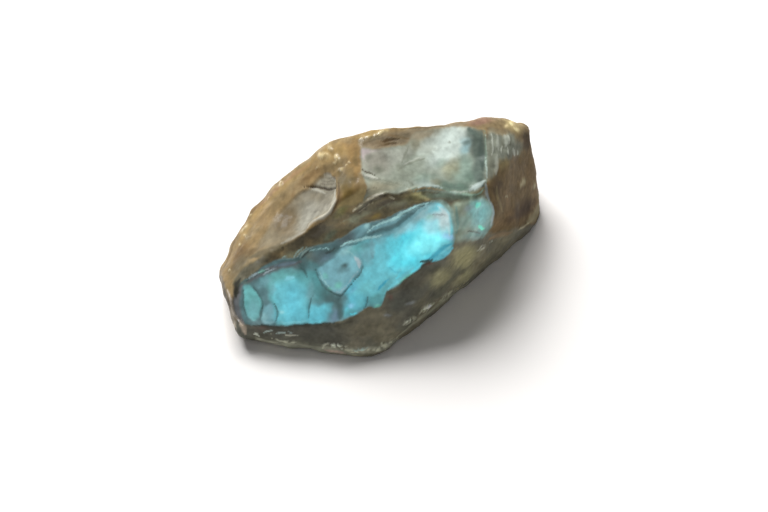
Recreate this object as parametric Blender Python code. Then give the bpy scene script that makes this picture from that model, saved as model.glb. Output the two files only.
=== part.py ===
"""Rough labradorite chunk: one water-worn stone of feldspar with a broken, flashing window.

The stone is made the way it broke. Four blocks are cut by break planes: the crest, its knob,
and the two halves of the ledge in front, whose sloping tops are the window. They are joined,
shell-shaped hollows are scooped from the faces, and the whole is worn round, given lumps
and seated on a flat cleavage face. Everything is in metres, the long way along X.
"""

import math

import bmesh
import bpy
from mathutils import Matrix, Vector

MM = 0.001

# The heart is the point inside the stone that every break plane is measured from.
HEART = Vector((0, 0, 12.5 * MM))
ROUGH_BLOCK_SIDE = 90 * MM

# Each break plane: the way it faces (azimuth from +X, elevation, in degrees) and how far
# it lies from the heart.
OUTER_BREAKS = {
    "left_front_wall": (-127, 8, 18.6 * MM),
    "left_heel": (-132, -35, 24.1 * MM),
    "front_corner": (-105, 23, 12.7 * MM),
    "right_front_wall": (-74, -6, 14.5 * MM),
    "window_shoulder": (-72, 24, 15.2 * MM),
    "right_shoulder": (-50, 15, 18.5 * MM),
    "knob_face": (-42, 55, 16.5 * MM),
    "right_end": (-12, 5, 30.5 * MM),
    "right_back": (30, 12, 29.5 * MM),
    "back_right_wall": (73, 20, 14.1 * MM),
    "back_wall": (87, 14, 15.7 * MM),
    "back_left_wall": (98, 12, 18.2 * MM),
    "left_back": (125, 5, 24.1 * MM),
    "left_crust": (150.6, 52, 14.0 * MM),
    "left_end": (165, -11, 30.5 * MM),
    "plateau": (-65, 75.5, 11.9 * MM),
    "front_undercut": (-85, -45, 19.5 * MM),
    "back_undercut": (95, -45, 18.5 * MM),
}
CREST_BREAKS = {
    "left_riser": (-137, 15, 12.9 * MM),
    "right_riser": (-115, 20, 7.6 * MM),
}
RIGHT_LEDGE_BREAKS = {
    "right_window": (-128, 47.8, 9.1 * MM),
}
LEFT_LEDGE_BREAKS = {
    "left_window": (-142.5, 67.7, 2.9 * MM),
}
KNOB_BREAKS = {
    "knob_left": (150, 55, -1.2 * MM),
    "knob_face": (-42, 55, 17.2 * MM),
    "plateau": (-65, 75.5, 12.5 * MM),
    "knob_back": (48, 35, 21.9 * MM),
    "back_right_wall": (73, 20, 14.9 * MM),
}

# Each shell-shaped hollow: its middle, the way that face looks, how far its long way is
# turned in the face, and its length, width and depth.
HOLLOWS = {
    "plateau_hollow": ((8.2, 0.6, 24.1), (-65, 75.5), -42, (21, 12, 0.9)),
    "pale_break_hollow": ((-13.5, 4.4, 19.1), (150.6, 52), 114, (14, 9, 0.6)),
    "back_hollow": ((12.0, 13.0, 10.0), (73, 20), 10, (22, 11, 1.0)),
    "left_back_hollow": ((-20.4, 15.6, 7.0), (125, 5), 0, (13, 8, 0.8)),
}
HOLLOW_ROUNDNESS = 8

FUSE_GRAIN = 0.5 * MM
WORN_GRAIN = 0.6 * MM
WEAR_STEPS = 8
LUMP_SIZE = 6 * MM
LUMP_HEIGHT = 0.9 * MM
PIT_SIZE = 2.2 * MM
PIT_DEPTH = 0.3 * MM
KEPT_SHARE = 0.24
GROUND_BLOCK_SIDE = 120 * MM


def clear_scene():
    for thing in list(bpy.data.objects):
        bpy.data.objects.remove(thing)


def facing(azimuth, elevation):
    """The unit vector that points this way."""
    turn, lift = math.radians(azimuth), math.radians(elevation)
    return Vector((math.cos(turn) * math.cos(lift), math.sin(turn) * math.cos(lift), math.sin(lift)))


def add_object(name, shape):
    """Makes an object of a finished bmesh."""
    mesh = bpy.data.meshes.new(name)
    shape.to_mesh(mesh)
    shape.free()
    thing = bpy.data.objects.new(name, mesh)
    bpy.context.scene.collection.objects.link(thing)
    return thing


def add_cutter(name, shape):
    cutter = add_object(name, shape)
    cutter.hide_render = True
    cutter.display_type = "WIRE"
    return cutter


def break_block(chunk, breaks):
    """Adds to the chunk a cube cut down by break planes, each cut closed with a flat face."""
    rough = bmesh.new()
    bmesh.ops.create_cube(rough, size=ROUGH_BLOCK_SIDE, matrix=Matrix.Translation(HEART))
    for azimuth, elevation, distance in breaks.values():
        outward = facing(azimuth, elevation)
        cut = bmesh.ops.bisect_plane(
            rough,
            geom=rough.verts[:] + rough.edges[:] + rough.faces[:],
            plane_co=HEART + outward * distance,
            plane_no=outward,
            clear_outer=True,
        )
        rim = [piece for piece in cut["geom_cut"] if isinstance(piece, bmesh.types.BMEdge)]
        bmesh.ops.contextual_create(rough, geom=rim)
    bmesh.ops.recalc_face_normals(rough, faces=rough.faces[:])
    block = bpy.data.meshes.new("block")
    rough.to_mesh(block)
    rough.free()
    chunk.from_mesh(block)
    bpy.data.meshes.remove(block)


def hollow_cutter(name, middle, look, turn, size):
    """A flattened ball whose cap, sunk in the face, leaves a hollow of this size."""
    length, width, depth = [side * MM for side in size]
    outward = facing(*look)
    level = Vector((0, 0, 1)).cross(outward).normalized()
    uphill = outward.cross(level)
    long_way = level * math.cos(math.radians(turn)) + uphill * math.sin(math.radians(turn))
    short_way = outward.cross(long_way)
    height = HOLLOW_ROUNDNESS * depth
    centre = Vector(middle) * MM + outward * (height - depth)
    placed = Matrix((
        (long_way.x * length, short_way.x * width, outward.x * height, centre.x),
        (long_way.y * length, short_way.y * width, outward.y * height, centre.y),
        (long_way.z * length, short_way.z * width, outward.z * height, centre.z),
        (0, 0, 0, 1),
    ))
    ball = bmesh.new()
    bmesh.ops.create_icosphere(ball, subdivisions=4, radius=1, matrix=placed)
    return add_cutter(name, ball)


def cut_away(body, cutter):
    cut = body.modifiers.new("cut " + cutter.name, "BOOLEAN")
    cut.operation = "DIFFERENCE"
    cut.solver = "EXACT"
    cut.object = cutter


def voxel_remesh(body, name, grain):
    remesh = body.modifiers.new(name, "REMESH")
    remesh.mode = "VOXEL"
    remesh.voxel_size = grain


def roughen(body, name, noise_size, height):
    noise = bpy.data.textures.new(name, "CLOUDS")
    noise.noise_scale = noise_size
    noise.noise_depth = 1
    displace = body.modifiers.new(name, "DISPLACE")
    displace.texture = noise
    displace.texture_coords = "LOCAL"
    displace.strength = height
    displace.mid_level = 0.5


clear_scene()

chunk = bmesh.new()
for own_breaks in (CREST_BREAKS, KNOB_BREAKS, RIGHT_LEDGE_BREAKS, LEFT_LEDGE_BREAKS):
    break_block(chunk, OUTER_BREAKS | own_breaks)
stone = add_object("labradorite_chunk", chunk)

voxel_remesh(stone, "fuse the blocks", FUSE_GRAIN)
for name, (middle, look, turn, size) in HOLLOWS.items():
    cut_away(stone, hollow_cutter(name, middle, look, turn, size))
voxel_remesh(stone, "even the surface", WORN_GRAIN)

wear = stone.modifiers.new("wear round", "SMOOTH")
wear.factor = 0.5
wear.iterations = WEAR_STEPS

roughen(stone, "lumps", LUMP_SIZE, LUMP_HEIGHT)
roughen(stone, "pits", PIT_SIZE, PIT_DEPTH)

thin = stone.modifiers.new("thin the mesh", "DECIMATE")
thin.ratio = KEPT_SHARE

ground = bmesh.new()
below = Matrix.Translation((0, 0, -GROUND_BLOCK_SIDE / 2))
bmesh.ops.create_cube(ground, size=GROUND_BLOCK_SIDE, matrix=below)
cut_away(stone, add_cutter("ground", ground))

feldspar = bpy.data.materials.new("feldspar")
feldspar.use_nodes = True
feldspar_shader = feldspar.node_tree.nodes["Principled BSDF"]
feldspar_shader.inputs["Base Color"].default_value = (0.16, 0.13, 0.08, 1)
feldspar_shader.inputs["Roughness"].default_value = 0.45
stone.data.materials.append(feldspar)

# Set the stone down with the origin under its middle.
bpy.context.view_layer.update()
finished = stone.evaluated_get(bpy.context.evaluated_depsgraph_get())
corners = [Vector(corner) for corner in finished.bound_box]
middle_x = (min(corner.x for corner in corners) + max(corner.x for corner in corners)) / 2
middle_y = (min(corner.y for corner in corners) + max(corner.y for corner in corners)) / 2
stone.location = (-middle_x, -middle_y, 0)
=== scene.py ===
"""Looks of the rough labradorite chunk: one worn stone with a broken ledge that flashes blue."""

import math

import bmesh
import bpy
import numpy as np
from mathutils import Matrix, Vector, noise


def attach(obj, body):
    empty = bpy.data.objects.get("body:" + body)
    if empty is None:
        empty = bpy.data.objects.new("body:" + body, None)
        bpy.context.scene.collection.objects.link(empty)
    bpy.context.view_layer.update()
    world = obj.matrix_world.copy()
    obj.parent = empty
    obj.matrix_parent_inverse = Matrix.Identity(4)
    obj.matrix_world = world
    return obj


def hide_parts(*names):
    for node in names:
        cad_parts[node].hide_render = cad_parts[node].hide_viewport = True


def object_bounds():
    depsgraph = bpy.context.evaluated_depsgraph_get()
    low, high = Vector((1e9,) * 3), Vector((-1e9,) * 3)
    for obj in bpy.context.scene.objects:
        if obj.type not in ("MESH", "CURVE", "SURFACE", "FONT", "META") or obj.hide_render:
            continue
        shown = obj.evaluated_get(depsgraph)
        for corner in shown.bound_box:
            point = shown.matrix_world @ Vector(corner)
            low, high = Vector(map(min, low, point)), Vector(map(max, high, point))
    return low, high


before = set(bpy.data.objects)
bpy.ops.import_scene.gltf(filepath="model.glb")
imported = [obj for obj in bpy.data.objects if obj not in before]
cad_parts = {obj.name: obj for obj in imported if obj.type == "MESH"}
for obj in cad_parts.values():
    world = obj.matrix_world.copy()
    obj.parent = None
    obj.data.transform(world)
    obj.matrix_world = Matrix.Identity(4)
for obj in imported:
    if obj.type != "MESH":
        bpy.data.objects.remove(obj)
cad_low, cad_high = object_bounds()

# --- Table, light and camera ---------------------------------------------------------
# The stone lies on a wide sheet of white card. A big soft lamp stands behind it on the
# left, so that its shadow falls to the front and right, and the room adds a little light.

MM = 0.001
CARD_SIZE = 4.0
CARD_WHITE = (0.95, 0.925, 0.905, 1)
CARD_ROUGHNESS = 0.9
VIEW_TURN = math.radians(-30)
VIEW_LIFT = math.radians(50)
VIEW_MIDDLE = Vector((-4.01, -4.69, 8.79)) * MM
VIEW_DISTANCE = 317.3 * MM
LENS_MM = 85
NEAREST_SEEN = 0.01
ROOM_LIGHT = 0.16
KEY_PLACE = (0.03, 0.48, 0.60)
KEY_SIZE = 0.45
KEY_WATTS = 9.2
FILL_PLACE = (-0.30, -0.50, 0.35)
FILL_SIZE = 0.5
FILL_WATTS = 0.2

card_shape = bmesh.new()
bmesh.ops.create_grid(card_shape, x_segments=1, y_segments=1, size=CARD_SIZE / 2)
card_mesh = bpy.data.meshes.new("card")
card_shape.to_mesh(card_mesh)
card_shape.free()
card = bpy.data.objects.new("card", card_mesh)
bpy.context.scene.collection.objects.link(card)
card_white = bpy.data.materials.new("white card")
card_white.use_nodes = True
card_shader = card_white.node_tree.nodes["Principled BSDF"]
card_shader.inputs["Base Color"].default_value = CARD_WHITE
card_shader.inputs["Roughness"].default_value = CARD_ROUGHNESS
card_mesh.materials.append(card_white)

view_right = Vector((math.cos(VIEW_TURN), math.sin(VIEW_TURN), 0))
view_up = Vector((
    -math.sin(VIEW_TURN) * math.sin(VIEW_LIFT),
    math.cos(VIEW_TURN) * math.sin(VIEW_LIFT),
    math.cos(VIEW_LIFT),
))
view_back = view_right.cross(view_up)
camera_data = bpy.data.cameras.new("camera")
camera_data.lens = LENS_MM
camera_data.clip_start = NEAREST_SEEN
camera = bpy.data.objects.new("camera", camera_data)
camera.matrix_world = Matrix.Translation(VIEW_MIDDLE + view_back * VIEW_DISTANCE) @ Matrix((
    (view_right.x, view_up.x, view_back.x, 0),
    (view_right.y, view_up.y, view_back.y, 0),
    (view_right.z, view_up.z, view_back.z, 0),
    (0, 0, 0, 1),
))
bpy.context.scene.collection.objects.link(camera)
bpy.context.scene.camera = camera


def soft_lamp(name, place, size, watts):
    """A square lamp that faces the stone."""
    lamp_data = bpy.data.lights.new(name, "AREA")
    lamp_data.size = size
    lamp_data.energy = watts
    lamp = bpy.data.objects.new(name, lamp_data)
    lamp.location = place
    lamp.rotation_euler = Vector(place).to_track_quat("Z", "Y").to_euler()
    bpy.context.scene.collection.objects.link(lamp)


soft_lamp("key", KEY_PLACE, KEY_SIZE, KEY_WATTS)
soft_lamp("fill", FILL_PLACE, FILL_SIZE, FILL_WATTS)
room = bpy.data.worlds.new("room")
room.use_nodes = True
room.node_tree.nodes["Background"].inputs["Color"].default_value = (1, 1, 1, 1)
room.node_tree.nodes["Background"].inputs["Strength"].default_value = ROOM_LIGHT
bpy.context.scene.world = room
bpy.context.scene.view_settings.view_transform = "Standard"

# --- The stone's body ----------------------------------------------------------------
# One piece of feldspar, river-worn. The solid is copied, closed, given an even fine skin
# and worn smooth. A rounder copy of the skin is kept for the well-worn crest and thick end.

SKIN_GRAIN = 0.28 * MM
WELD_GAP = 0.001 * MM
WEAR_STEP = 0.5
WEAR_ROUNDS = 12
EXTRA_WEAR_ROUNDS = 90

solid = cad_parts["labradorite_chunk"]
rough_shape = bmesh.new()
rough_shape.from_mesh(solid.data)
bmesh.ops.remove_doubles(rough_shape, verts=rough_shape.verts[:], dist=WELD_GAP)
rough_mesh = bpy.data.meshes.new("rough stone")
rough_shape.to_mesh(rough_mesh)
rough_shape.free()
rough_stone = bpy.data.objects.new("rough stone", rough_mesh)
bpy.context.scene.collection.objects.link(rough_stone)
even_skin = rough_stone.modifiers.new("even skin", "REMESH")
even_skin.mode = "VOXEL"
even_skin.voxel_size = SKIN_GRAIN
worn = rough_stone.modifiers.new("worn", "SMOOTH")
worn.factor = WEAR_STEP


def worn_copy(rounds):
    """The skin's mesh after this many rounds of wear."""
    worn.iterations = rounds
    depsgraph = bpy.context.evaluated_depsgraph_get()
    return bpy.data.meshes.new_from_object(rough_stone.evaluated_get(depsgraph))


def point_places(mesh):
    """The places of a mesh's points, one row each."""
    places = np.empty(len(mesh.vertices) * 3)
    mesh.vertices.foreach_get("co", places)
    return places.reshape(-1, 3)


round_place = point_places(worn_copy(EXTRA_WEAR_ROUNDS))
stone_mesh = worn_copy(WEAR_ROUNDS)
stone_mesh.name = "stone"
place = point_places(stone_mesh)
count = len(place)
outward = np.empty(count * 3)
stone_mesh.vertices.foreach_get("normal", outward)
outward = outward.reshape(-1, 3)
bpy.data.objects.remove(rough_stone)

# --- Worn swellings ------------------------------------------------------------------
# Water has left the outside gently uneven: low swellings and hollows, each a few
# millimetres wide, along the crest and round the two ends.

SWELLINGS = [
    # middle, radius and height in millimetres; below 0 for a hollow
    ((-5, 11.6, 22.2), 3.6, 0.95),
    ((-17.7, 15.2, 12.7), 3, -0.5),
    ((-27.5, 10.8, 7.8), 2.6, -0.6),
    ((-29.9, 8, 4.5), 1.8, 0.3),
    ((10.5, 6.5, 24.6), 4.5, -0.45),
    ((26, 3.3, 20), 2.2, 0.45),
    ((30.6, 0, 9), 5, 0.3),
    ((29.6, 2.2, 16.5), 1.8, 0.35),
]
swelling = np.zeros(count)
for middle, radius, height in SWELLINGS:
    gap = np.linalg.norm(place / MM - np.array(middle), axis=1)
    swelling += height * np.exp(-((gap / radius) ** 2))

# --- The drawing sheet ---------------------------------------------------------------
# Breaks, cracks and colours are laid out in millimetres on a sheet that faces the camera:
# the first number runs right from its middle, the second up. What faces away from it, or
# is turned to the back by more than BACK_TURN, is left out.

BACK_TURN = 0.72
OUTSIDE = -9

sheet_offset = place - np.array(VIEW_MIDDLE)
sheet_spread = VIEW_DISTANCE / (VIEW_DISTANCE - sheet_offset @ np.array(view_back)) / MM
turned_to_sheet = outward @ np.array(view_back)
facing = np.flatnonzero((turned_to_sheet > 0) & (outward[:, 1] < BACK_TURN))


def ease(value, start, end):
    """0 before start, 1 after end, and smooth between."""
    share = np.clip((value - start) / (end - start), 0, 1)
    return share * share * (3 - 2 * share)


def grain(size, seed):
    """Smooth random numbers, about -1 to 1, whose lumps are this many millimetres wide."""
    shift = Vector((seed * 7.3, seed * 3.1, seed * 5.7))
    scale = 1 / (size * MM)
    return np.array([noise.noise(Vector(point) * scale + shift) for point in place])


broad_grain = grain(9, seed=1)
lump_grain = grain(4, seed=2)
small_grain = grain(1.8, seed=3)
fine_grain = grain(0.8, seed=4)
finest_grain = grain(0.45, seed=5)
across_grain = 0.45 * grain(2.2, seed=6) + 0.3 * fine_grain + 0.12 * finest_grain
up_grain = 0.45 * grain(2.2, seed=7) + 0.3 * grain(0.8, seed=8) + 0.12 * grain(0.45, seed=9)
wander_x = across_grain[facing]
wander_y = up_grain[facing]
drawn_x = (sheet_offset @ np.array(view_right) * sheet_spread)[facing]
drawn_y = (sheet_offset @ np.array(view_up) * sheet_spread)[facing]
sheet_side = ease(turned_to_sheet, 0.02, 0.2)


def on_stone(values, elsewhere=0):
    """Spreads values known on the facing side to the whole skin."""
    spread = np.full(count, float(elsewhere))
    spread[facing] = values
    return spread


def ramp(across, start, end):
    """0 before start and 1 after end, measured across or up the sheet."""
    return on_stone(ease(across, start, end))


def rounded(points, closed):
    """The drawn points with their corners cut twice, so that the line runs round."""
    for _ in range(2):
        ends = points[1:] + points[:1] if closed else points[1:]
        cut = [] if closed else [points[0]]
        for (x1, y1), (x2, y2) in zip(points, ends):
            cut.append((0.75 * x1 + 0.25 * x2, 0.75 * y1 + 0.25 * y2))
            cut.append((0.25 * x1 + 0.75 * x2, 0.25 * y1 + 0.75 * y2))
        points = cut if closed else cut + [points[-1]]
    return points


def nearest_on_line(points, closed, x, y):
    """The gap to a drawn line, and how far along the line its nearest place is, 0 to 1."""
    ends = points[1:] + points[:1] if closed else points[1:]
    whole = sum(math.dist(start, end) for start, end in zip(points, ends))
    gap = np.full(len(x), 1e9)
    along = np.zeros(len(x))
    passed = 0.0
    for (x1, y1), (x2, y2) in zip(points, ends):
        length = math.dist((x1, y1), (x2, y2))
        share = ((x - x1) * (x2 - x1) + (y - y1) * (y2 - y1)) / length**2
        share = np.clip(share, 0, 1)
        here = np.hypot(x - x1 - share * (x2 - x1), y - y1 - share * (y2 - y1))
        nearer = here < gap
        gap[nearer] = here[nearer]
        along[nearer] = (passed + share[nearer] * length) / whole
        passed += length
    return gap, along


def patch(outline, wander=0.5):
    """Millimetres inside a drawn outline, less than 0 outside, with a wandering edge."""
    points = rounded(outline, True)
    x, y = drawn_x + wander * wander_x, drawn_y + wander * wander_y
    within = np.zeros(len(x), bool)
    for (x1, y1), (x2, y2) in zip(points, points[1:] + points[:1]):
        if y1 != y2:
            crossing = ((y1 > y) != (y2 > y)) & (x < (x2 - x1) * (y - y1) / (y2 - y1) + x1)
            within ^= crossing
    gap, _ = nearest_on_line(points, True, x, y)
    return on_stone(np.where(within, gap, -gap), elsewhere=OUTSIDE)


def streak(path, width, wander=0.35):
    """1 along a drawn stroke, fading out at its sides and thinning to its two ends."""
    x, y = drawn_x + wander * wander_x, drawn_y + wander * wander_y
    gap, along = nearest_on_line(rounded(path, False), False, x, y)
    half_width = 0.5 * width * (0.35 + 0.65 * ease(np.minimum(along, 1 - along), 0, 0.3))
    return on_stone(1 - ease(gap, 0.3 * half_width, 1.25 * half_width))


def blot(middle, length, width, turn=0):
    """1 at the middle of a soft oval, fading to 0 at about its edge."""
    angle = math.radians(turn)
    x = drawn_x + 0.8 * wander_x - middle[0]
    y = drawn_y + 0.8 * wander_y - middle[1]
    along = (x * math.cos(angle) + y * math.sin(angle)) / (length / 2)
    across = (y * math.cos(angle) - x * math.sin(angle)) / (width / 2)
    return on_stone(np.exp(-1.4 * (along**2 + across**2) ** 1.5)) * sheet_side


broken = ease(finest_grain + 0.5 * fine_grain, -0.25, 0.1)

# --- Crust ---------------------------------------------------------------------------
# The worn outside: waxy ochre and tan, rusty in the hollows, with small glassy knobs along
# the crest, each with a painted glint laid on it. It covers the left flank, the back and the
# ends; the other faces broke through it.

LUMP_HEIGHT = 0.16
DIMPLE_HEIGHT = 0.08
PIT_HEIGHT = 0.04
KNOB_HEIGHT = 0.2

# The relief in millimetres, the colour as it looks from the camera with its light and shade,
# and what else the finish is made from. Light is how bright white would look in that place,
# and the colour is divided by it later; where light differs from what the lamps give, that
# light and shade stays painted into the colour. Flash is how strongly a place glows of
# itself: the stone's flash is painted in as a glow.
rise = swelling + LUMP_HEIGHT * lump_grain + DIMPLE_HEIGHT * small_grain + PIT_HEIGHT * fine_grain
seen = np.zeros((count, 3))
surface = {
    "light": np.full(count, 1.25),
    "flash": np.zeros(count),
    "gloss": np.full(count, 0.1),
    "contrast": np.full(count, 0.13),
    "roughness": 0.45 + 0.1 * small_grain,
}


def shade(red, green, blue):
    """A 0 to 255 shade as light values."""
    parts = np.array([red, green, blue]) / 255
    return tuple(np.where(parts < 0.04045, parts / 12.92, ((parts + 0.055) / 1.055) ** 2.4))


def lay(colour, amount):
    """Lays a colour over the skin, from none at 0 to full at 1."""
    share = np.clip(amount, 0, 1)[:, None]
    seen[:] = seen * (1 - share) + np.array(colour) * share


def lay_blots(rows, within=1):
    """Lays soft ovals, each a row of colour, amount, middle, length, width and any turn."""
    for colour, amount, *oval in rows:
        lay(colour, amount * blot(*oval) * within)


def lay_streaks(rows, within=1):
    """Lays strokes, each a row of colour, amount, width and path."""
    for colour, amount, width, path in rows:
        lay(colour, amount * streak(path, width) * within)


def mix_into(values, value, amount):
    """Moves values towards a value, from not at all at 0 to fully at 1."""
    share = np.clip(amount, 0, 1)
    values[:] = values * (1 - share) + value * share


def set_surface(amount, **wanted):
    """Moves the named values of the skin's surface towards the wanted ones."""
    for name, value in wanted.items():
        mix_into(surface[name], value, amount)


OCHRE = shade(160, 137, 97)
TAN = shade(167, 147, 110)
GOLD = shade(184, 154, 98)
RUST = shade(148, 122, 84)
RED_TAN = shade(166, 130, 102)
WARM_OCHRE = shade(162, 133, 88)
BROWN = shade(118, 94, 60)
OLIVE_GOLD = shade(130, 108, 56)
DARK_BROWN = shade(74, 58, 38)
GLINT = shade(240, 222, 172)
OLIVE = shade(118, 110, 76)
DULL_GOLD = shade(136, 117, 82)
SHADED_GOLD = shade(117, 105, 74)
EDGE_BROWN = shade(118, 108, 84)
CHARCOAL = shade(84, 84, 74)
SMOKE = shade(166, 152, 126)

CRUST = [
    (-31.3, -5.9), (-27.1, -4.5), (-24.3, -1.8), (-21.3, 0), (-18.2, 1.6), (-15.2, 3), (-12.8, 4.7),
    (-9.8, 6.8), (-8, 8.4), (-5.6, 8.8), (-3.5, 9.8), (-2.4, 11.5), (-3.8, 13.3), (-4.5, 15.9),
    (-4.5, 18.5), (-2.1, 19.6), (1.4, 19.4), (4.4, 19.8), (4.9, 21.3), (7.2, 22.4), (9.8, 22.8),
    (15, 23.1), (17.8, 22), (17.8, 27.3), (-9.4, 27.3), (-31.3, 2.8),
]
SHADED_HOLLOW = [
    (-8.8, 7.3), (-8.2, 9.1), (-6.6, 10.3), (-5.1, 11.2), (-4, 12.2), (-2.6, 11.7), (-2.8, 9.8),
    (-5.2, 8.4), (-7.3, 7),
]
MATT_SLOPE = [(-5.2, 20.6), (-5.1, 18.5), (-5.4, 16.4), (-5.4, 12.6)]
crust = patch(CRUST)
far_side = 1 - sheet_side

lay(OLIVE, np.ones(count))
lay(OCHRE, ease(place[:, 2] / MM + 4 * broad_grain, 3, 12))
lay(CHARCOAL, 0.8 * ease(-place[:, 2] / MM - 3 * lump_grain, -5, 0) * far_side)
lay(OLIVE, 0.7 * ease(broad_grain + 0.3 * small_grain, 0, 0.35) * far_side)
lay(BROWN, 0.7 * ease(lump_grain + 0.4 * fine_grain, 0.05, 0.5) * far_side)
lay(OCHRE, ease(crust, -0.3, 0.3))
set_surface(ease(crust, -0.3, 0.3), light=1.31)
lay(TAN, 0.8 * ease(lump_grain, -0.2, 0.35))
lay(RUST, 0.4 * ease(small_grain + 0.5 * broad_grain, 0, 0.45))

CRUST_STREAKS = [
    (GOLD, 0.5, 1.6, [(-26.8, -1), (-25.5, 2.1), (-23.6, 5.6), (-21, 9.3), (-17.3, 12.6),
        (-13.6, 15.7), (-10.5, 17.7)]),
    (RED_TAN, 0.5, 0.8, [(-23.1, 8), (-19.9, 10.8), (-16.4, 14), (-12.9, 16.1)]),
    (BROWN, 0.6, 0.6, [(-28.3, -2.4), (-27.1, 1), (-25.5, 4.5), (-23.4, 8), (-20.6, 11.2)]),
    (RUST, 0.7, 1.8, [(-16.1, 10.5), (-14.2, 12.9), (-11.5, 14.7), (-9.1, 15.7)]),
    (BROWN, 0.5, 1.2, [(-14.2, 13.3), (-12.4, 14.5), (-10.3, 15.4)]),
    (GOLD, 0.85, 1.4, [(-4.9, 20.6), (-3.1, 21.2), (-0.9, 22), (0.7, 21.9)]),
    (WARM_OCHRE, 0.9, 3.4, [(-7, 19.2), (-5.4, 18.5), (-4.7, 16.8), (-4.9, 14.3)]),
    (SMOKE, 0.9, 3.2, [(-3.8, 19.2), (-0.7, 19.9), (2.4, 20.5), (4.9, 21.2), (7.7, 22)]),
    (DARK_BROWN, 0.35, 0.4, [(-3.8, 19.6), (-1, 20.5), (2.4, 21.3), (4.9, 21.7)]),
    (DARK_BROWN, 0.35, 0.4, [(-1.8, 19.2), (0.7, 19.6), (3.5, 19.9)]),
    (DARK_BROWN, 0.9, 0.7, [(-0.5, 20.1), (1.2, 20.5), (2.8, 20.6)]),
    (DARK_BROWN, 0.8, 0.5, [(0, 19.6), (1.4, 19.8), (2.4, 19.9)]),
    (RUST, 0.6, 0.7, [(0.7, 21.2), (2.8, 21), (4.4, 20.6)]),
    (BROWN, 0.6, 1.6, [(-26.8, -2.4), (-25, -0.3), (-22, 1.4)]),
    (OLIVE_GOLD, 0.85, 2.6, [(-7.7, 14.7), (-6.5, 12.6), (-6.3, 10.1), (-7.7, 8)]),
    (BROWN, 0.6, 1.2, [(-8, 12.2), (-7.7, 10.1), (-8.4, 8.4)]),
    (BROWN, 0.4, 1, [(-5.6, 14.7), (-4.5, 12.6), (-5.2, 10.1)]),
    (EDGE_BROWN, 0.9, 1.4, [(-23.4, -0.3), (-21.3, 0.5), (-19.2, 1.4), (-17.1, 2.4)]),
    (BROWN, 0.6, 0.8, [(-28.3, -4.2), (-28, -5.9), (-27.1, -8)]),
    (SMOKE, 0.8, 0.9, [(4.2, 22.2), (7.2, 22.6), (10.7, 22.9), (15, 23.3)]),
    (DARK_BROWN, 0.5, 0.3, [(3.1, 22.4), (7.2, 22.8), (11.5, 23.1)]),
]
CRUST_BLOTS = [
    (OLIVE_GOLD, 0.5, (-4.9, 10.8), 4, 3, 60),
    (OLIVE, 0.5, (-7.5, 12.6), 1.5, 3),
    (GOLD, 0.7, (-9.8, 17.3), 4, 3.4, 30),
    (BROWN, 0.95, (-25.2, 0.3), 6, 2.4, 60),
    (EDGE_BROWN, 0.9, (-25, -1.6), 6, 2.6, 50),
    (SHADED_GOLD, 0.7, (-3.8, 19.9), 2, 1.4),
    (BROWN, 0.6, (-0.2, 19.9), 3.4, 1.4, 5),
    (DULL_GOLD, 1, (-8.8, 15.6), 6, 2.2, 30),
    (DULL_GOLD, 0.9, (-6.5, 14), 2.8, 5),
    (GOLD, 0.8, (-7.5, 18.5), 2.4, 2),
    (SHADED_GOLD, 0.9, (-7.3, 13.3), 2.8, 2.4),
    (RUST, 0.8, (-5.1, 19.4), 1.6, 3),
    (DULL_GOLD, 0.8, (-4.9, 16.8), 1.4, 3),
    (BROWN, 0.4, (-2.8, 19.6), 2.8, 1.2, 10),
    (DULL_GOLD, 0.6, (-18.2, 9.8), 5, 2, 50),
    (TAN, 0.7, (-14.7, 11.5), 3, 2, 50),
    (EDGE_BROWN, 0.65, (-2.4, 20.5), 3.4, 1.2, 12),
    (EDGE_BROWN, 0.6, (3.7, 21.3), 3, 1.2, 8),
    (EDGE_BROWN, 0.5, (-5.9, 13.1), 2, 2.2),
]
KNOBS = [
    # middle, length, width and turn of each small glassy knob, which gets a painted glint
    ((-10.3, 17.3), 2, 1.3), ((-8, 17.1), 1.3, 0.9, -50), ((-8.9, 18.4), 0.9, 0.6),
    ((-7.5, 15), 0.9, 0.7), ((-6.6, 15.7), 0.7, 0.4), ((-18, 12.6), 1.1, 0.7, 60),
    ((-24.3, 4.9), 1.6, 0.7, 60), ((-23.3, 7.3), 0.6, 0.3, 60), ((-26.9, -2.4), 0.6, 0.5),
    ((0, 21.7), 1.8, 0.8, 15), ((-1.2, 21.3), 1.8, 0.7, 25), ((-2.6, 21), 1.2, 0.4, 25),
    ((-4, 20.5), 1, 0.35, 20), ((-6.1, 16.3), 0.6, 0.4), ((-9.1, 19.1), 0.7, 0.5, 20),
    ((-24, 3.5), 0.6, 0.5), ((-25.2, 2.1), 0.5, 0.4), ((-20.3, 10.1), 0.7, 0.35, 55),
    ((-11.5, 15.4), 0.7, 0.3, 30), ((0.5, 22.2), 0.8, 0.4), ((-8.4, 16.3), 0.9, 0.5, 40),
]
lay_streaks(CRUST_STREAKS)
lay_blots(CRUST_BLOTS)
crust_shade = ease(patch(SHADED_HOLLOW), -0.3, 0.5)
set_surface(crust_shade, light=0.43)
lay(SHADED_GOLD, 0.85 * crust_shade)
matt = streak(MATT_SLOPE, 3)
set_surface(matt, gloss=0, roughness=0.8)
# Each knob is raised and glossy, and its pale glint is painted into the colour.
for middle, length, width, *turn in KNOBS:
    knob = blot(middle, length, width, *turn)
    rise += KNOB_HEIGHT * knob
    lay(GLINT, 0.75 * knob * (0.35 + 0.65 * broken))
    set_surface(blot(middle, 1.3 * length, 1.3 * width, *turn), gloss=0.35)
    set_surface(knob, roughness=0.25)

# --- Pale break on the left flank ----------------------------------------------------
# A shallow shell-shaped break through the crust: smooth pale grey feldspar, darker in
# the middle, with a crack across its upper corner and a thin bright edge.

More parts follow.
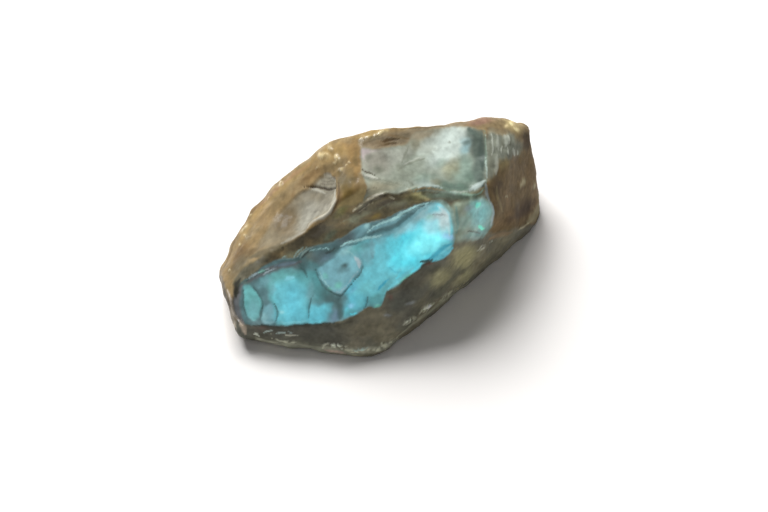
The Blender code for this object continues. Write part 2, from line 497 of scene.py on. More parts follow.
BREAK_DEPTH = 0.28
CORNER_CRACK = [(-14, 12.1), (-12.6, 12.2), (-11.5, 12.2), (-10, 11.5), (-8.6, 12.1)]
CORNER_CRACK_DEPTH = 0.2
PALE = shade(140, 136, 120)
PALE_EDGE = shade(184, 182, 168)
PALE_DARKER = shade(128, 112, 84)
PALE_TAN = shade(152, 142, 118)
CRACK_BROWN = shade(62, 50, 36)
FLANK_BREAK = [
    (-15, 11.2), (-13.3, 11.9), (-11.9, 13.5), (-10.1, 14.7), (-8.9, 14.3), (-8.2, 12.6),
    (-8.4, 10.3), (-9.1, 8.4), (-10.3, 7), (-12.8, 6.3), (-13.6, 4.5), (-15.7, 3), (-18, 1.8),
    (-20.8, 0.7), (-23.1, -0.2), (-22.8, 2.1), (-20.6, 4.9), (-18.2, 8),
]
flank_break = patch(FLANK_BREAK, wander=0.4)
inside_break = ease(flank_break, 0, 0.8)
break_edge = ramp(drawn_x, -22, -13)
rise -= BREAK_DEPTH * ease(flank_break, -0.05, 0.35) * (0.2 + 0.8 * break_edge)
lay(PALE_TAN, 0.7 * ease(flank_break, -0.3, 1.6))
lay(PALE, 0.95 * ease(flank_break, -0.1, 0.6) * break_edge)
set_surface(ease(flank_break, -0.1, 0.6) * break_edge, contrast=0.12)
FLANK_BLOTS = [
    (PALE_DARKER, 1, (-17.1, 6.5), 6.4, 3.6, 60),
    (PALE_TAN, 0.7, (-20.3, 4.5), 6, 3.4, 55),
    (PALE_EDGE, 0.6, (-14.2, 5.6), 3.4, 1.6, 40),
    (PALE_EDGE, 0.3, (-14.2, 11), 2.6, 2),
    (PALE_EDGE, 0.4, (-9.6, 8.2), 1.8, 3, 60),
    (PALE_DARKER, 0.9, (-18.2, 6.1), 4.4, 3.2, 50),
    (PALE_DARKER, 0.45, (-16.6, 4.4), 3.4, 2, 40),
    (PALE_TAN, 0.7, (-14.9, 10.7), 3, 2.4, 30),
    (PALE_EDGE, 0.7, (-13.1, 7.5), 5, 3.4, 50),
    (PALE_DARKER, 0.25, (-12.2, 10.5), 3.4, 2),
]
FLANK_STREAKS = [
    (PALE_EDGE, 0.9, 1, [(-8.8, 11.5), (-8.6, 9.8), (-9.6, 7.3), (-12.6, 6.1)]),
    (PALE_EDGE, 0.6, 0.8, [(-13.3, 4.9), (-15.6, 3.3), (-18, 2.1)]),
    (EDGE_BROWN, 0.9, 1.2, [(-17.5, 1.8), (-20.3, 0.9), (-23.1, -0.3)]),
    (PALE_EDGE, 0.8, 0.5, [(-13.1, 11.9), (-11.7, 11.7), (-10.3, 11)]),
    (PALE_EDGE, 0.6, 0.5, [(-10.5, 14.2), (-9.3, 14.3), (-8.6, 12.9)]),
    (CRACK_BROWN, 0.95, 0.45, [(-14, 12.1), (-12.6, 12.2), (-11.5, 12.2), (-10, 11.7),
        (-8.6, 12.1)]),
    (CRACK_BROWN, 0.6, 0.22, [(-11.5, 12.8), (-10, 12.6), (-8.8, 12.9)]),
    (CRACK_BROWN, 0.5, 0.22, [(-11.2, 13.3), (-10, 13.1), (-8.9, 13.5)]),
    (CRACK_BROWN, 0.4, 0.22, [(-10.8, 13.8), (-9.8, 13.6), (-9.1, 14)]),
    (CRACK_BROWN, 0.35, 0.25, [(-12.6, 7.7), (-11.7, 8.2), (-11.2, 7.9)]),
    (DARK_BROWN, 0.6, 0.6, [(-8, 12.9), (-7.9, 10.8), (-8.4, 8.8), (-9.6, 6.5)]),
    (PALE_EDGE, 0.7, 0.6, [(-11.2, 6.6), (-12.8, 5.9), (-13.5, 4.7)]),
]
lay_blots(FLANK_BLOTS, within=inside_break)
lay_streaks(FLANK_STREAKS)
set_surface(blot((-11.2, 13.1), 4, 3), light=0.95)
set_surface(streak([(-8.8, 11.7), (-8.9, 9.4), (-10, 7.7), (-12.2, 6.5)], 1.6), light=1)
set_surface(blot((-17.3, 6.6), 2.6, 1.8, turn=60), light=1.55)
rise -= CORNER_CRACK_DEPTH * streak(CORNER_CRACK, 0.6)

# --- Low wall ------------------------------------------------------------------------
# The steep outer wall below the window: dark, glassy and half clear, olive where it is
# thin, with small shell-shaped chips out of its lower edge. A painted shade line runs just
# under the window, the paler grey along the foot is partly a painted sheen, and the chips'
# pale edges are partly painted highlights.

WALL_GREY = shade(80, 77, 64)
WALL_CHARCOAL = shade(58, 60, 53)
WALL_BROWN = shade(88, 84, 67)
WALL_OLIVE = shade(114, 111, 82)
WALL_DARK_AND_SHADE = shade(54, 54, 46)
WALL_RED = shade(82, 60, 52)
WALL_BLUE = shade(98, 102, 102)
WALL_FOOT_GREY = shade(108, 109, 96)
CHIP_PALE = shade(176, 182, 164)
CHIP_TEAL = shade(116, 138, 132)
CHIP_OLIVE = shade(134, 135, 114)
CHIP_PINK = shade(140, 118, 110)
LOW_WALL = [
    (-25.2, -10.8), (-19.1, -10.5), (-14.7, -9.8), (-8.6, -9.4), (-4.2, -7.7), (0.2, -5.1),
    (3.7, -2.1), (8, 1), (11.9, 3.7), (15.9, 4.2), (18.9, 4.7), (22.4, 4.7), (28.2, 7.5), (30.8, 1),
    (16.8, -9.4), (2.8, -20.8), (-23.4, -19.9), (-27.8, -14.7), (-26.6, -11.5),
]
low_wall = patch(LOW_WALL)
on_wall = ease(low_wall, -0.3, 0.4)
lay(WALL_GREY, on_wall)
lay(WALL_CHARCOAL, 0.6 * on_wall * ease(lump_grain + 0.3 * small_grain, -0.1, 0.35))
lay(WALL_BROWN, 0.5 * on_wall * ease(-lump_grain + 0.5 * broad_grain, 0, 0.4))
lay(WALL_CHARCOAL, 0.7 * on_wall * (1 - ramp(drawn_x, -14, -4)))
set_surface(on_wall, light=0.43, gloss=0.14, contrast=0.22)
WALL_BLOTS = [
    (WALL_DARK_AND_SHADE, 0.8, (-20.6, -13.3), 6, 2),
    (WALL_RED, 0.5, (-21.3, -12.8), 3, 0.8),
    (WALL_DARK_AND_SHADE, 1, (-12.6, -13.6), 7, 3.4),
    (WALL_DARK_AND_SHADE, 0.6, (-7.7, -13.1), 5, 2),
    (WALL_DARK_AND_SHADE, 0.8, (-9.1, -14.3), 6, 2.4),
    (WALL_DARK_AND_SHADE, 0.6, (-5.6, -11.5), 4, 1.6, 20),
    (WALL_CHARCOAL, 0.7, (8.4, -4.9), 5, 2.4, 38),
    (WALL_CHARCOAL, 0.6, (4.9, -10.1), 5, 2, 38),
    (WALL_CHARCOAL, 0.9, (2.8, -8.2), 6, 4.4, 40),
    (WALL_DARK_AND_SHADE, 0.8, (4.9, -4.5), 6, 3, 40),
    (WALL_DARK_AND_SHADE, 0.7, (6.6, -2.4), 3, 2, 40),
    (WALL_RED, 0.7, (1, -7.2), 1, 1.4, 40),
    (WALL_BROWN, 0.4, (7, -8.2), 3, 2, 40),
    (WALL_BLUE, 0.8, (0.7, -10.3), 1.2, 0.8),
    (WALL_BLUE, 0.7, (4.7, -8.2), 1.6, 0.7, 20),
    (WALL_OLIVE, 1, (14, 0), 6, 4, 38),
    (WALL_OLIVE, 0.6, (14.3, -1), 2.5, 2.5),
    (WALL_OLIVE, 0.75, (10, -3.7), 5, 3.4, 38),
    (WALL_OLIVE, 0.6, (14.2, -3.5), 5, 2, 40),
    (WALL_BROWN, 0.9, (17.7, -1), 6, 2.4, 38),
    (WALL_DARK_AND_SHADE, 0.6, (18.9, -0.3), 5, 1.2, 38),
    (WALL_BROWN, 0.8, (21, 3.1), 6, 2.4, 35),
]
WALL_STREAKS = [
    # the first stroke is painted shade just under the window's lower edge
    (WALL_DARK_AND_SHADE, 0.7, 1.2, [(-24.3, -12.9), (-20.8, -13.1), (-15.6, -12.9), (-9.4, -12.4),
        (-5.6, -11.4)]),
    (WALL_DARK_AND_SHADE, 0.5, 0.8, [(-23.1, -14.3), (-17.3, -14.9), (-11.2, -15.7)]),
    (WALL_DARK_AND_SHADE, 0.5, 0.7, [(7.2, -7.7), (11.5, -4.4), (15.9, -1)]),
    (WALL_DARK_AND_SHADE, 0.6, 0.7, [(7.2, -10.5), (11.5, -7.2), (15.9, -3.5), (20.3, 0)]),
    (WALL_DARK_AND_SHADE, 0.6, 0.7, [(-5.6, -17), (-1, -17.5), (1.4, -16.1)]),
    (CHIP_PINK, 0.5, 0.6, [(-10.5, -16.4), (-8.8, -16.8), (-6.6, -17)]),
    (CHIP_OLIVE, 0.35, 0.5, [(2.3, -14.2), (4.4, -12.4), (7.2, -10.3), (10.7, -7.7), (14.7, -4.7)]),
]
CHIPS = [
    # colour, width and height of each chip's bright edge, and its path; the pale edge colour is
    # partly a painted highlight
    (CHIP_TEAL, 0.45, 0.1, [(-18.9, -13.5), (-17.5, -13.3), (-15.7, -13.5)]),
    (CHIP_OLIVE, 0.3, 0.05, [(-17.3, -13.8), (-16.1, -14), (-14.7, -13.8)]),
    (CHIP_PALE, 0.5, 0.12, [(-22.8, -13.6), (-22, -13.8), (-21.9, -14.2)]),
    (CHIP_OLIVE, 0.45, 0.2, [(-19.6, -14.3), (-18, -14.7), (-16.4, -15.2), (-14.7, -15)]),
    (CHIP_TEAL, 0.25, 0.04, [(-21.3, -13.5), (-20.3, -13.1), (-19.1, -13.1)]),
    (CHIP_OLIVE, 0.25, 0.04, [(-20.3, -13.8), (-19.2, -13.6)]),
    (CHIP_OLIVE, 0.5, 0.16, [(-10.7, -16.1), (-10.5, -15.4), (-9.4, -15.2)]),
    (CHIP_PALE, 0.9, 0.2, [(-9.4, -15.7), (-8.6, -15.6), (-7.7, -15.7)]),
    (CHIP_PALE, 0.5, 0.15, [(-7.5, -16.3), (-7, -16.4)]),
    (CHIP_OLIVE, 0.9, 0.2, [(-7.5, -15.7), (-5.9, -16.4), (-4.5, -16.8)]),
    (CHIP_TEAL, 0.6, 0.18, [(-5.4, -16.4), (-4, -16.4), (-2.8, -15.9)]),
    (CHIP_OLIVE, 0.9, 0.24, [(-2.8, -16.4), (-1, -16.4), (0.3, -15.4), (2.3, -14.2)]),
    (CHIP_OLIVE, 0.6, 0.12, [(-0.7, -15), (0, -15.7), (0.3, -16.4)]),
    (CHIP_OLIVE, 0.9, 0.2, [(3.3, -12.1), (4.4, -11.2), (5.8, -10.7)]),
    (CHIP_PALE, 0.5, 0.1, [(3.8, -11.5), (4.7, -11)]),
    (CHIP_OLIVE, 1.1, 0.22, [(6.3, -10), (7.5, -8.9), (8.8, -8.2)]),
    (CHIP_PALE, 0.5, 0.12, [(6.8, -9.3), (7.5, -8.8), (8.2, -8.4)]),
    (CHIP_OLIVE, 0.9, 0.2, [(9.8, -8), (10.8, -7), (11.9, -6.1)]),
    (WALL_OLIVE, 0.8, 0.16, [(12.2, -6.1), (13.5, -5.1), (14.7, -4)]),
    (CHIP_OLIVE, 0.9, 0.16, [(16.3, 1), (17, 1.4), (17.7, 1.9)]),
    (CHIP_PALE, 0.5, 0.12, [(18.5, 2.4), (19.1, 2.6)]),
]
WALL_FOOT = [
    (-22.4, -14.5), (-21, -15), (-17.8, -15.4), (-14.3, -15.9), (-10.8, -16.4), (-7.3, -16.8),
    (-2.8, -16.6), (0, -16.1), (2.4, -14.7),
]
WALL_SHADOWS = [
    # light, width and path
    (0.31, 2.4, WALL_FOOT),
    (0.33, 5.4, [(6.3, -10.8), (10.8, -7.3), (15, -3.1), (18.9, 0.3), (22.4, 2.8)]),
    (0.35, 3.6, [(-5.6, -15.4), (-2.1, -15.4), (1.4, -14.7), (3.5, -12.9)]),
]


def light_streaks(rows):
    """Sets the light along strokes, each a row of light, width and path."""
    for light, width, path in rows:
        set_surface(streak(path, width), light=light)


light_streaks(WALL_SHADOWS)
# The paler grey along the foot is partly a painted sheen on the lower edge.
lay(WALL_FOOT_GREY, 0.6 * streak(WALL_FOOT, 1.8))
lay_blots(WALL_BLOTS, within=on_wall)
lay_streaks(WALL_STREAKS)
for colour, width, height, path in CHIPS:
    chip = streak(path, width, wander=0.18) * broken
    rise += height * chip
    lay(colour, 0.65 * chip)
    set_surface(chip, gloss=0.8, roughness=0.25)

# --- Thick end -----------------------------------------------------------------------
# The rounded right-hand end: smooth dark brown, ochre on top of the knob, with a patch of
# frosty grey cleavage steps below it and a paler worn bevel at the foot. Small pale glints
# are painted on it.

FROST_STEP = 0.06
END_BROWN = shade(86, 73, 51)
END_RED = shade(102, 84, 60)
END_DARK = shade(52, 42, 34)
END_OLIVE = shade(126, 117, 84)
END_BEVEL = shade(112, 107, 86)
END_GLINT = shade(160, 155, 126)
FROST = shade(124, 128, 115)
FROST_WHITE = shade(182, 187, 174)
FROST_GREY = shade(110, 112, 98)
KNOB_TAN = shade(146, 128, 96)
KNOB_RED = shade(158, 126, 106)
END_GOLD = shade(170, 154, 112)
THICK_END = [
    (17.8, 25.2), (28.2, 26.4), (29.9, 7.2), (25.5, 5.2), (21.7, 4.5), (18.5, 3.5), (17.8, 5.9),
    (18.2, 8.9), (17.8, 11.5), (17.5, 13.3), (17.5, 20.3),
]
KNOB_TOP = [
    (14.3, 25.2), (26.4, 25.9), (25.7, 21.7), (23.8, 20.8), (21.2, 21.9), (18.9, 22.2),
    (16.4, 22.8), (14.7, 23.1),
]
FROST_PATCH = [
    (17.8, 22), (19.6, 22.2), (21.7, 21.9), (23.8, 21), (24.5, 19.2), (23.4, 17.7), (21.5, 17),
    (19.9, 16.4), (19.6, 14), (17.8, 13.3), (17.5, 16.8),
]
thick_end = patch(THICK_END)
knob_top = patch(KNOB_TOP)
frost_patch = patch(FROST_PATCH, wander=1)
on_end = ease(thick_end, -0.4, 0.5)
lay(END_BROWN, on_end)
lay(END_RED, 0.5 * on_end * ease(broad_grain + 0.4 * lump_grain, 0, 0.4))
set_surface(on_end, light=0.49, gloss=0.02, contrast=0.2)
mix_into(rise, swelling + 0.3 * (rise - swelling), 0.8 * on_end)
lay(KNOB_TAN, ease(knob_top, -0.3, 0.6))
set_surface(ease(knob_top, -0.3, 0.6), light=1.08)
set_surface(blot((22.8, 22.4), 6, 3.4, turn=-35), light=0.74)
lay(FROST, ease(frost_patch, -0.6, 0.8))
set_surface(ease(frost_patch, -0.6, 0.8), light=0.85)
set_surface(blot((21.2, 20.8), 8, 3.4, turn=-10), light=0.72)
END_BLOTS = [
    (END_OLIVE, 0.55, (21.2, 16.1), 2.2, 2.4),
    (END_BROWN, 0.8, (22.8, 15), 4, 4),
    (END_RED, 0.5, (19.9, 5.6), 4, 2, 20),
    (END_DARK, 0.85, (24.5, 8.2), 5, 2.8, 52),
    (END_DARK, 0.5, (22.4, 6.5), 3.4, 1.4, 30),
    (END_DARK, 0.5, (19.8, 12.2), 2, 3.4),
    # the pale glint ovals here and on the knob's top below are painted highlights
    (END_GLINT, 0.5, (24.1, 12.8), 0.7, 2, -15),
    (END_GLINT, 0.6, (26.1, 12.4), 0.7, 1.4),
    (END_GLINT, 0.4, (21.3, 10.3), 0.5, 0.5),
    (KNOB_RED, 1, (16.8, 23.6), 5, 1.4, 10),
    (END_GOLD, 0.9, (22.6, 22.6), 4.4, 2, -35),
    (GLINT, 0.9, (22.4, 23.1), 1.4, 0.6, -30),
    (GLINT, 0.8, (23.3, 22.2), 1, 0.6, -30),
    (GLINT, 0.5, (21.5, 22.6), 0.8, 0.5),
    (END_DARK, 0.7, (24.8, 20.1), 1.6, 3.6, 10),
    (FROST_GREY, 0.6, (23.6, 18.9), 2, 2.6),
    (FROST_GREY, 0.8, (18.7, 15.4), 2.2, 4),
    (KNOB_TAN, 0.6, (20.3, 21.7), 5, 1.2, -5),
    (KNOB_TAN, 0.6, (23.6, 20.5), 2.4, 1.6, -40),
]
END_STREAKS = [
    (END_BEVEL, 0.75, 1.9, [(27.3, 9.3), (26.8, 7.2), (25.2, 5.8)]),
    # the thin pale stroke at the bevel's foot is a painted highlight
    (END_GLINT, 0.6, 0.3, [(25.5, 5.9), (24.5, 5.1), (23.4, 4.5)]),
    (END_RED, 0.7, 0.9, [(18.4, 3), (20.3, 3.7), (22.4, 4.2)]),
    (END_BEVEL, 0.6, 0.6, [(26.9, 11.5), (27.3, 9.3)]),
    (END_OLIVE, 0.3, 0.6, [(19.8, 12.2), (19.9, 10), (20.8, 7.7)]),
    (FROST_GREY, 0.6, 0.7, [(18.5, 19.6), (18.7, 16.8), (18.5, 14.7)]),
    (FROST_GREY, 0.7, 0.6, [(20.6, 20.6), (20.8, 18.2)]),
    (FROST_GREY, 0.7, 0.5, [(22, 21), (22.2, 19.2)]),
    (FROST_WHITE, 0.55, 0.35, [(18.7, 21.3), (19.1, 19.8), (18.9, 17.7)]),
    (FROST_WHITE, 0.4, 0.6, [(19.8, 21.2), (19.8, 19.8), (20.1, 18.5)]),
    (FROST_WHITE, 0.5, 0.9, [(21, 21.3), (21.5, 20.5), (21.3, 19.1)]),
    (FROST_WHITE, 0.7, 0.3, [(21.3, 21.5), (21.9, 20.6), (21.9, 19.8)]),
    (FROST_WHITE, 0.7, 0.3, [(21.7, 18.9), (21.9, 17.7)]),
    (FROST_WHITE, 0.7, 0.35, [(22.6, 18.9), (22.8, 17.5)]),
    (FROST_WHITE, 0.6, 0.3, [(23.4, 18.5), (23.3, 17.7)]),
    (FROST_WHITE, 0.35, 0.8, [(19.8, 17.7), (19.8, 15.7), (19.6, 14.3)]),
    (FROST_WHITE, 0.6, 0.3, [(20.6, 19.2), (20.6, 18)]),
    (FROST_WHITE, 0.6, 0.4, [(17.8, 21.5), (17.8, 18.5), (18, 15.9), (17.8, 13.6)]),
]
lay_blots(END_BLOTS)
lay_streaks(END_STREAKS)
for colour, amount, width, path in END_STREAKS:
    if colour == FROST_WHITE:
        rise += FROST_STEP * streak(path, 1.4 * width)

# --- Riser ---------------------------------------------------------------------------
# The steep dark face between the crest and the window, with a seam of clear olive feldspar
# along its right half. Painted shade makes it almost black under the pale break and under
# the plateau's lip, a dark green painted shade band runs below the plateau, and its top
# edge carries a painted highlight.

RISER_LIP = [(-4.9, 8.4), (-3.7, 9.3), (-2.4, 10), (-0.5, 10.7), (1.2, 11.2)]
RISER_LIP_HEIGHT = 0.15
RISER_BROWN = shade(88, 82, 61)
RISER_BLACK_AND_SHADE = shade(52, 46, 33)
RISER_OLIVE = shade(104, 100, 60)
RISER_GREY = shade(108, 112, 92)
RISER_RUST = shade(101, 87, 59)
RISER_GOLD = shade(108, 92, 50)
RISER_EDGE_HIGHLIGHT = shade(172, 166, 142)
RISER_SHADE_GREEN = shade(80, 97, 83)
RIM_SHADE = shade(104, 101, 84)
RISER = [
    (-26.8, -4.7), (-25.2, -2.6), (-23.6, -1.4), (-21, 0.2), (-18.2, 1.6), (-15.2, 3), (-12.8, 4.7),
    (-9.8, 6.6), (-8, 8.4), (-5.6, 8.8), (-3.5, 9.6), (-1.8, 10.7), (0.7, 11.2), (4.5, 11.5),
    (8, 11.4), (12.4, 11.4), (15, 11.2), (17.5, 12.1), (18.5, 10.1), (18.5, 7.2), (15, 7.7),
    (12.4, 7), (11, 7.5), (8, 7.7), (4.5, 5.9), (1, 4.2), (-2.4, 3.1), (-5.6, 1.4), (-7.7, 0.7),
    (-10.3, 0), (-12.4, -1), (-14.7, -1.9), (-17.3, -2.6), (-19.9, -3), (-22, -4), (-23.8, -5.1),
    (-25.5, -5.9),
]
riser = patch(RISER)
on_riser = ease(riser, -0.3, 0.3)
lay(RISER_BROWN, on_riser)
lay(RISER_RUST, 0.4 * on_riser * ease(small_grain + 0.6 * lump_grain, 0.05, 0.5))
lay(RISER_BLACK_AND_SHADE, 0.4 * on_riser * ease(fine_grain + 0.4 * small_grain, 0.05, 0.4))
set_surface(on_riser, light=0.43, gloss=0.25, contrast=0.32)
RISER_BLOTS = [
    # painted shade: the black ovals under the pale break and the plateau's lip, and the dark green
    # ovals under the pale break and along the plateau's edge
    (RISER_BLACK_AND_SHADE, 0.9, (-11.9, 4.2), 6, 2.8, 38),
    (RISER_BLACK_AND_SHADE, 0.6, (-15.4, 1.8), 5, 2, 32),
    (RISER_RUST, 0.7, (-19.6, -0.2), 6, 1.6, 25),
    (RIM_SHADE, 0.9, (-24.5, -3.1), 4, 2.4, 50),
    (RIM_SHADE, 0.9, (-22.2, -1.4), 5, 2, 35),
    (RISER_RUST, 0.5, (-13.1, 2.4), 1.6, 1.2),
    (RISER_GREY, 0.4, (-15.9, 0.2), 4, 1.6, 20),
    (RISER_OLIVE, 0.5, (-7.7, 7.2), 2.4, 1.6, 40),
    (RISER_SHADE_GREEN, 0.5, (-9.3, 3.5), 3.4, 1.2, 35),
    (RISER_GREY, 0.5, (-3.3, 7.5), 2.4, 1, 25),
    (RISER_RUST, 0.8, (-7.5, 5.8), 3, 2.2, 30),
    (RIM_SHADE, 0.6, (-3.8, 8.8), 2, 2.6, 30),
    (RISER_OLIVE, 0.9, (-7.2, 8.2), 2.4, 1.6, 30),
    (RISER_BLACK_AND_SHADE, 0.7, (-4.7, 7.7), 4, 1.4, 30),
    (RISER_GREY, 0.7, (-5.1, 6.5), 3, 1.8, 30),
    (RISER_RUST, 0.9, (-5.8, 8.2), 2.4, 1.4, 30),
    (RISER_OLIVE, 0.5, (6.1, 10.5), 5.4, 1.8, 12),
    (RISER_GOLD, 0.9, (-1.6, 7), 2.8, 1.1, 25),
    (RISER_BLACK_AND_SHADE, 0.8, (0.3, 9.3), 5, 1.2, 20),
    (RISER_BLACK_AND_SHADE, 0.6, (-0.5, 10.3), 4, 0.9, 20),
    (RISER_GREY, 0.4, (2.8, 9.3), 4, 1.2, 15),
    (RISER_SHADE_GREEN, 0.9, (10.7, 10.7), 8, 1.8),
    (RISER_SHADE_GREEN, 0.9, (15, 10.3), 6, 1.5, 3),
]
RISER_STREAKS = [
    # the pale edge strokes are partly a painted highlight along the riser's raised top edge
    (RISER_EDGE_HIGHLIGHT, 0.9, 0.4, [(-4.9, 8.6), (-3.7, 9.4), (-2.4, 10.1), (-0.5, 10.8), (1.2, 11.2)]),
    (RISER_EDGE_HIGHLIGHT, 0.7, 0.35, [(-5.6, 7.7), (-4.5, 8.8), (-3.8, 9.1)]),
    (RISER_EDGE_HIGHLIGHT, 0.5, 0.25, [(-4.2, 7.9), (-2.8, 8.9), (-1.8, 9.3)]),
    (RISER_EDGE_HIGHLIGHT, 0.6, 0.3, [(0.7, 10.5), (1.8, 10)]),
    # the black strokes are painted shade under the plateau's lip and under the pale break
    (RISER_BLACK_AND_SHADE, 0.8, 0.7, [(-4.5, 7.9), (-2.8, 9.3), (-0.7, 10.3), (1.4, 10.7)]),
    (RISER_BLACK_AND_SHADE, 0.6, 0.6, [(1.4, 10.5), (3.8, 11), (6.6, 11.4), (9.8, 11)]),
    (RISER_GREY, 0.5, 0.4, [(-2.1, 8), (0.2, 8.6), (2.4, 9.8)]),
    (RISER_BLACK_AND_SHADE, 0.7, 0.7, [(-18.2, 1.2), (-15.2, 2.6), (-12.8, 4.4), (-10.1, 6.3)]),
    (RISER_GREY, 0.5, 0.3, [(-7.5, 5.9), (-6.3, 6.5), (-5.4, 5.9)]),
]
lay_blots(RISER_BLOTS, within=on_riser)
lay_streaks(RISER_STREAKS, within=0.3 + 0.7 * broken)
RISER_LIGHTS = [
    # light, width and path
    (1.12, 2.6, [(7, 11), (9.8, 10.3), (11.9, 10), (14.7, 10.1)]),
    (0.72, 1.4, [(-3.1, 10.3), (-0.7, 11), (2.1, 10.7), (4.9, 10.3), (7, 9.8)]),
    (1.1, 2.4, [(-26.2, -5.2), (-25, -3.1), (-23.1, -1.6), (-20.3, -0.2), (-17.8, 1.2)]),
    (0.7, 1.2, [(-24.1, -4.2), (-22.4, -3.1), (-20.3, -1.4), (-18.2, 0.2)]),
]
light_streaks(RISER_LIGHTS)
rise += RISER_LIP_HEIGHT * streak(RISER_LIP, 0.7)

# --- Plateau -------------------------------------------------------------------------
# The fresh, flat top of the crest: satin grey cleavage, nearly white in the middle where
# pale stone carries a painted sheen, teal-grey towards the knob, with a small dark step at
# its left end.

PLATEAU_DEPTH = 0.14
COOL_GREY = shade(153, 162, 147)
WARM_GREY = shade(156, 153, 140)
DIM_GREY = shade(122, 126, 110)
WHITE = shade(214, 228, 219)
PALE_BLUE = shade(176, 216, 220)
PALE_TEAL = shade(142, 165, 151)
SAND = shade(156, 156, 128)
BAND = shade(92, 106, 97)
BAND_DARK = shade(66, 80, 74)
LIP_WHITE = shade(196, 212, 206)
TEAL_SHADE = shade(104, 127, 113)
STEP_WHITE = shade(214, 214, 202)
PINK_GREY = shade(182, 170, 168)
LOBE_TAN = shade(148, 144, 122)
PLATEAU_PALE = shade(182, 186, 172)
PLATEAU = [
    (-4.2, 18.9), (-3.1, 18.9), (-1, 18.7), (1, 19.2), (4.2, 19.6), (4.5, 21.2), (6.6, 22.2),
    (9.8, 22.6), (14.3, 22.9), (17.5, 22.2), (17.8, 18.5), (17.8, 15), (18, 13.3), (17.5, 11.9),
    (15, 11), (11.9, 11.4), (10.5, 11.7), (7.3, 12.1), (4.7, 11.5), (2.8, 10.8), (0, 11),
    (-2.1, 10.7), (-4, 9.4), (-3.1, 11.2), (-3, 12.6), (-4, 14.2), (-4, 16.8),
]
plateau = patch(PLATEAU, wander=0.45)
on_plateau = ease(plateau, -0.25, 0.4)
top_edge = ramp(drawn_x, 2, 6) * ramp(drawn_y, 17, 19.5)
rise -= PLATEAU_DEPTH * ease(plateau, -0.05, 0.4) * (1 - ramp(drawn_x, -2, 4))
mix_into(rise, 0.5 * (rise + swelling), on_plateau)
lay(COOL_GREY, on_plateau * (1 - 0.35 * top_edge))
set_surface(on_plateau, light=1.14, gloss=0.08, contrast=0.14)
set_surface(on_plateau * (1 - ramp(drawn_x, -3, 2)), light=0.95)
PLATEAU_BLOTS = [
    (WARM_GREY, 0.9, (-1.4, 16.8), 8, 7),
    (PINK_GREY, 0.9, (-3.5, 18.2), 2, 1.6, -30),
    (PINK_GREY, 0.6, (-2.1, 18.5), 3, 0.8, 5),
    (DIM_GREY, 0.8, (-0.9, 15.2), 2.2, 1.8),
    (DIM_GREY, 0.4, (-2.8, 17.3), 1.6, 1.6, 30),
    (PLATEAU_PALE, 0.9, (2.6, 17.5), 4.4, 3, 20),
    (DIM_GREY, 0.5, (3.8, 17.8), 1.2, 3.4, 20),
    (DIM_GREY, 0.6, (2.8, 15.4), 1.2, 2, 20),
    (SMOKE, 0.7, (6.3, 21.3), 7, 2, 8),
    (DIM_GREY, 0.4, (3.5, 14), 5, 2.4, 10),
    (LOBE_TAN, 0.95, (-1.6, 11.9), 6, 3, 10),
    (LOBE_TAN, 0.7, (0.7, 12.1), 5, 2, 10),
    # the white ovals are partly pale stone and partly a painted sheen
    (WHITE, 1, (11.5, 20.5), 7, 4.4, 20),
    (WHITE, 1, (11.2, 18.2), 9, 4.6, 25),
    (WHITE, 0.85, (12.8, 21.2), 6, 3.4, 10),
    (WHITE, 0.5, (8, 19.8), 3.4, 2.4, 20),
    (WHITE, 0.4, (6.5, 18.4), 2.6, 2, 20),
    (PLATEAU_PALE, 0.5, (1.2, 18), 2.4, 1.6, 10),
    (DIM_GREY, 0.35, (6.5, 16.3), 3, 1.4, 20),
    (PALE_TEAL, 0.6, (10.1, 16.3), 2.6, 2, 20),
    (LIP_WHITE, 0.55, (7.5, 12.8), 4.4, 1.6),
    (PALE_BLUE, 0.9, (14.3, 18.9), 2.6, 1.8, 50),
    (PALE_BLUE, 0.6, (14.2, 20.1), 2, 1.6),
    (SAND, 0.8, (12.1, 14.7), 3.6, 4.4, 60),
    (SAND, 0.5, (12.4, 16.3), 3.4, 2.2, 30),
    (PALE_TEAL, 0.5, (7.2, 13.6), 5, 2.2),
    (PALE_TEAL, 0.9, (14.3, 15.9), 3, 5.4),
    (PALE_TEAL, 0.8, (13.6, 13.6), 5, 3),
    (OLIVE, 0.6, (9.3, 12.8), 2.4, 1.4, -30),
    (TEAL_SHADE, 1, (12.9, 11.9), 7, 2.2, -5),
    (TEAL_SHADE, 0.9, (15.6, 13.8), 3.4, 3.4),
    (TEAL_SHADE, 0.8, (11, 12.4), 3, 1.6, -20),
    (PLATEAU_PALE, 0.6, (4, 18.5), 2.4, 2),
    # painted shade under the plateau's lower edge
    (RISER_SHADE_GREEN, 0.8, (11, 11.2), 5, 1.4),
    (BAND, 0.85, (15, 21.2), 1.8, 2.8),
    (BAND, 0.7, (14.3, 19.8), 1.6, 1),
    (DIM_GREY, 0.7, (11.4, 20.1), 0.7, 0.6),
    (BAND, 0.7, (17, 21.9), 3, 2, -20),
]
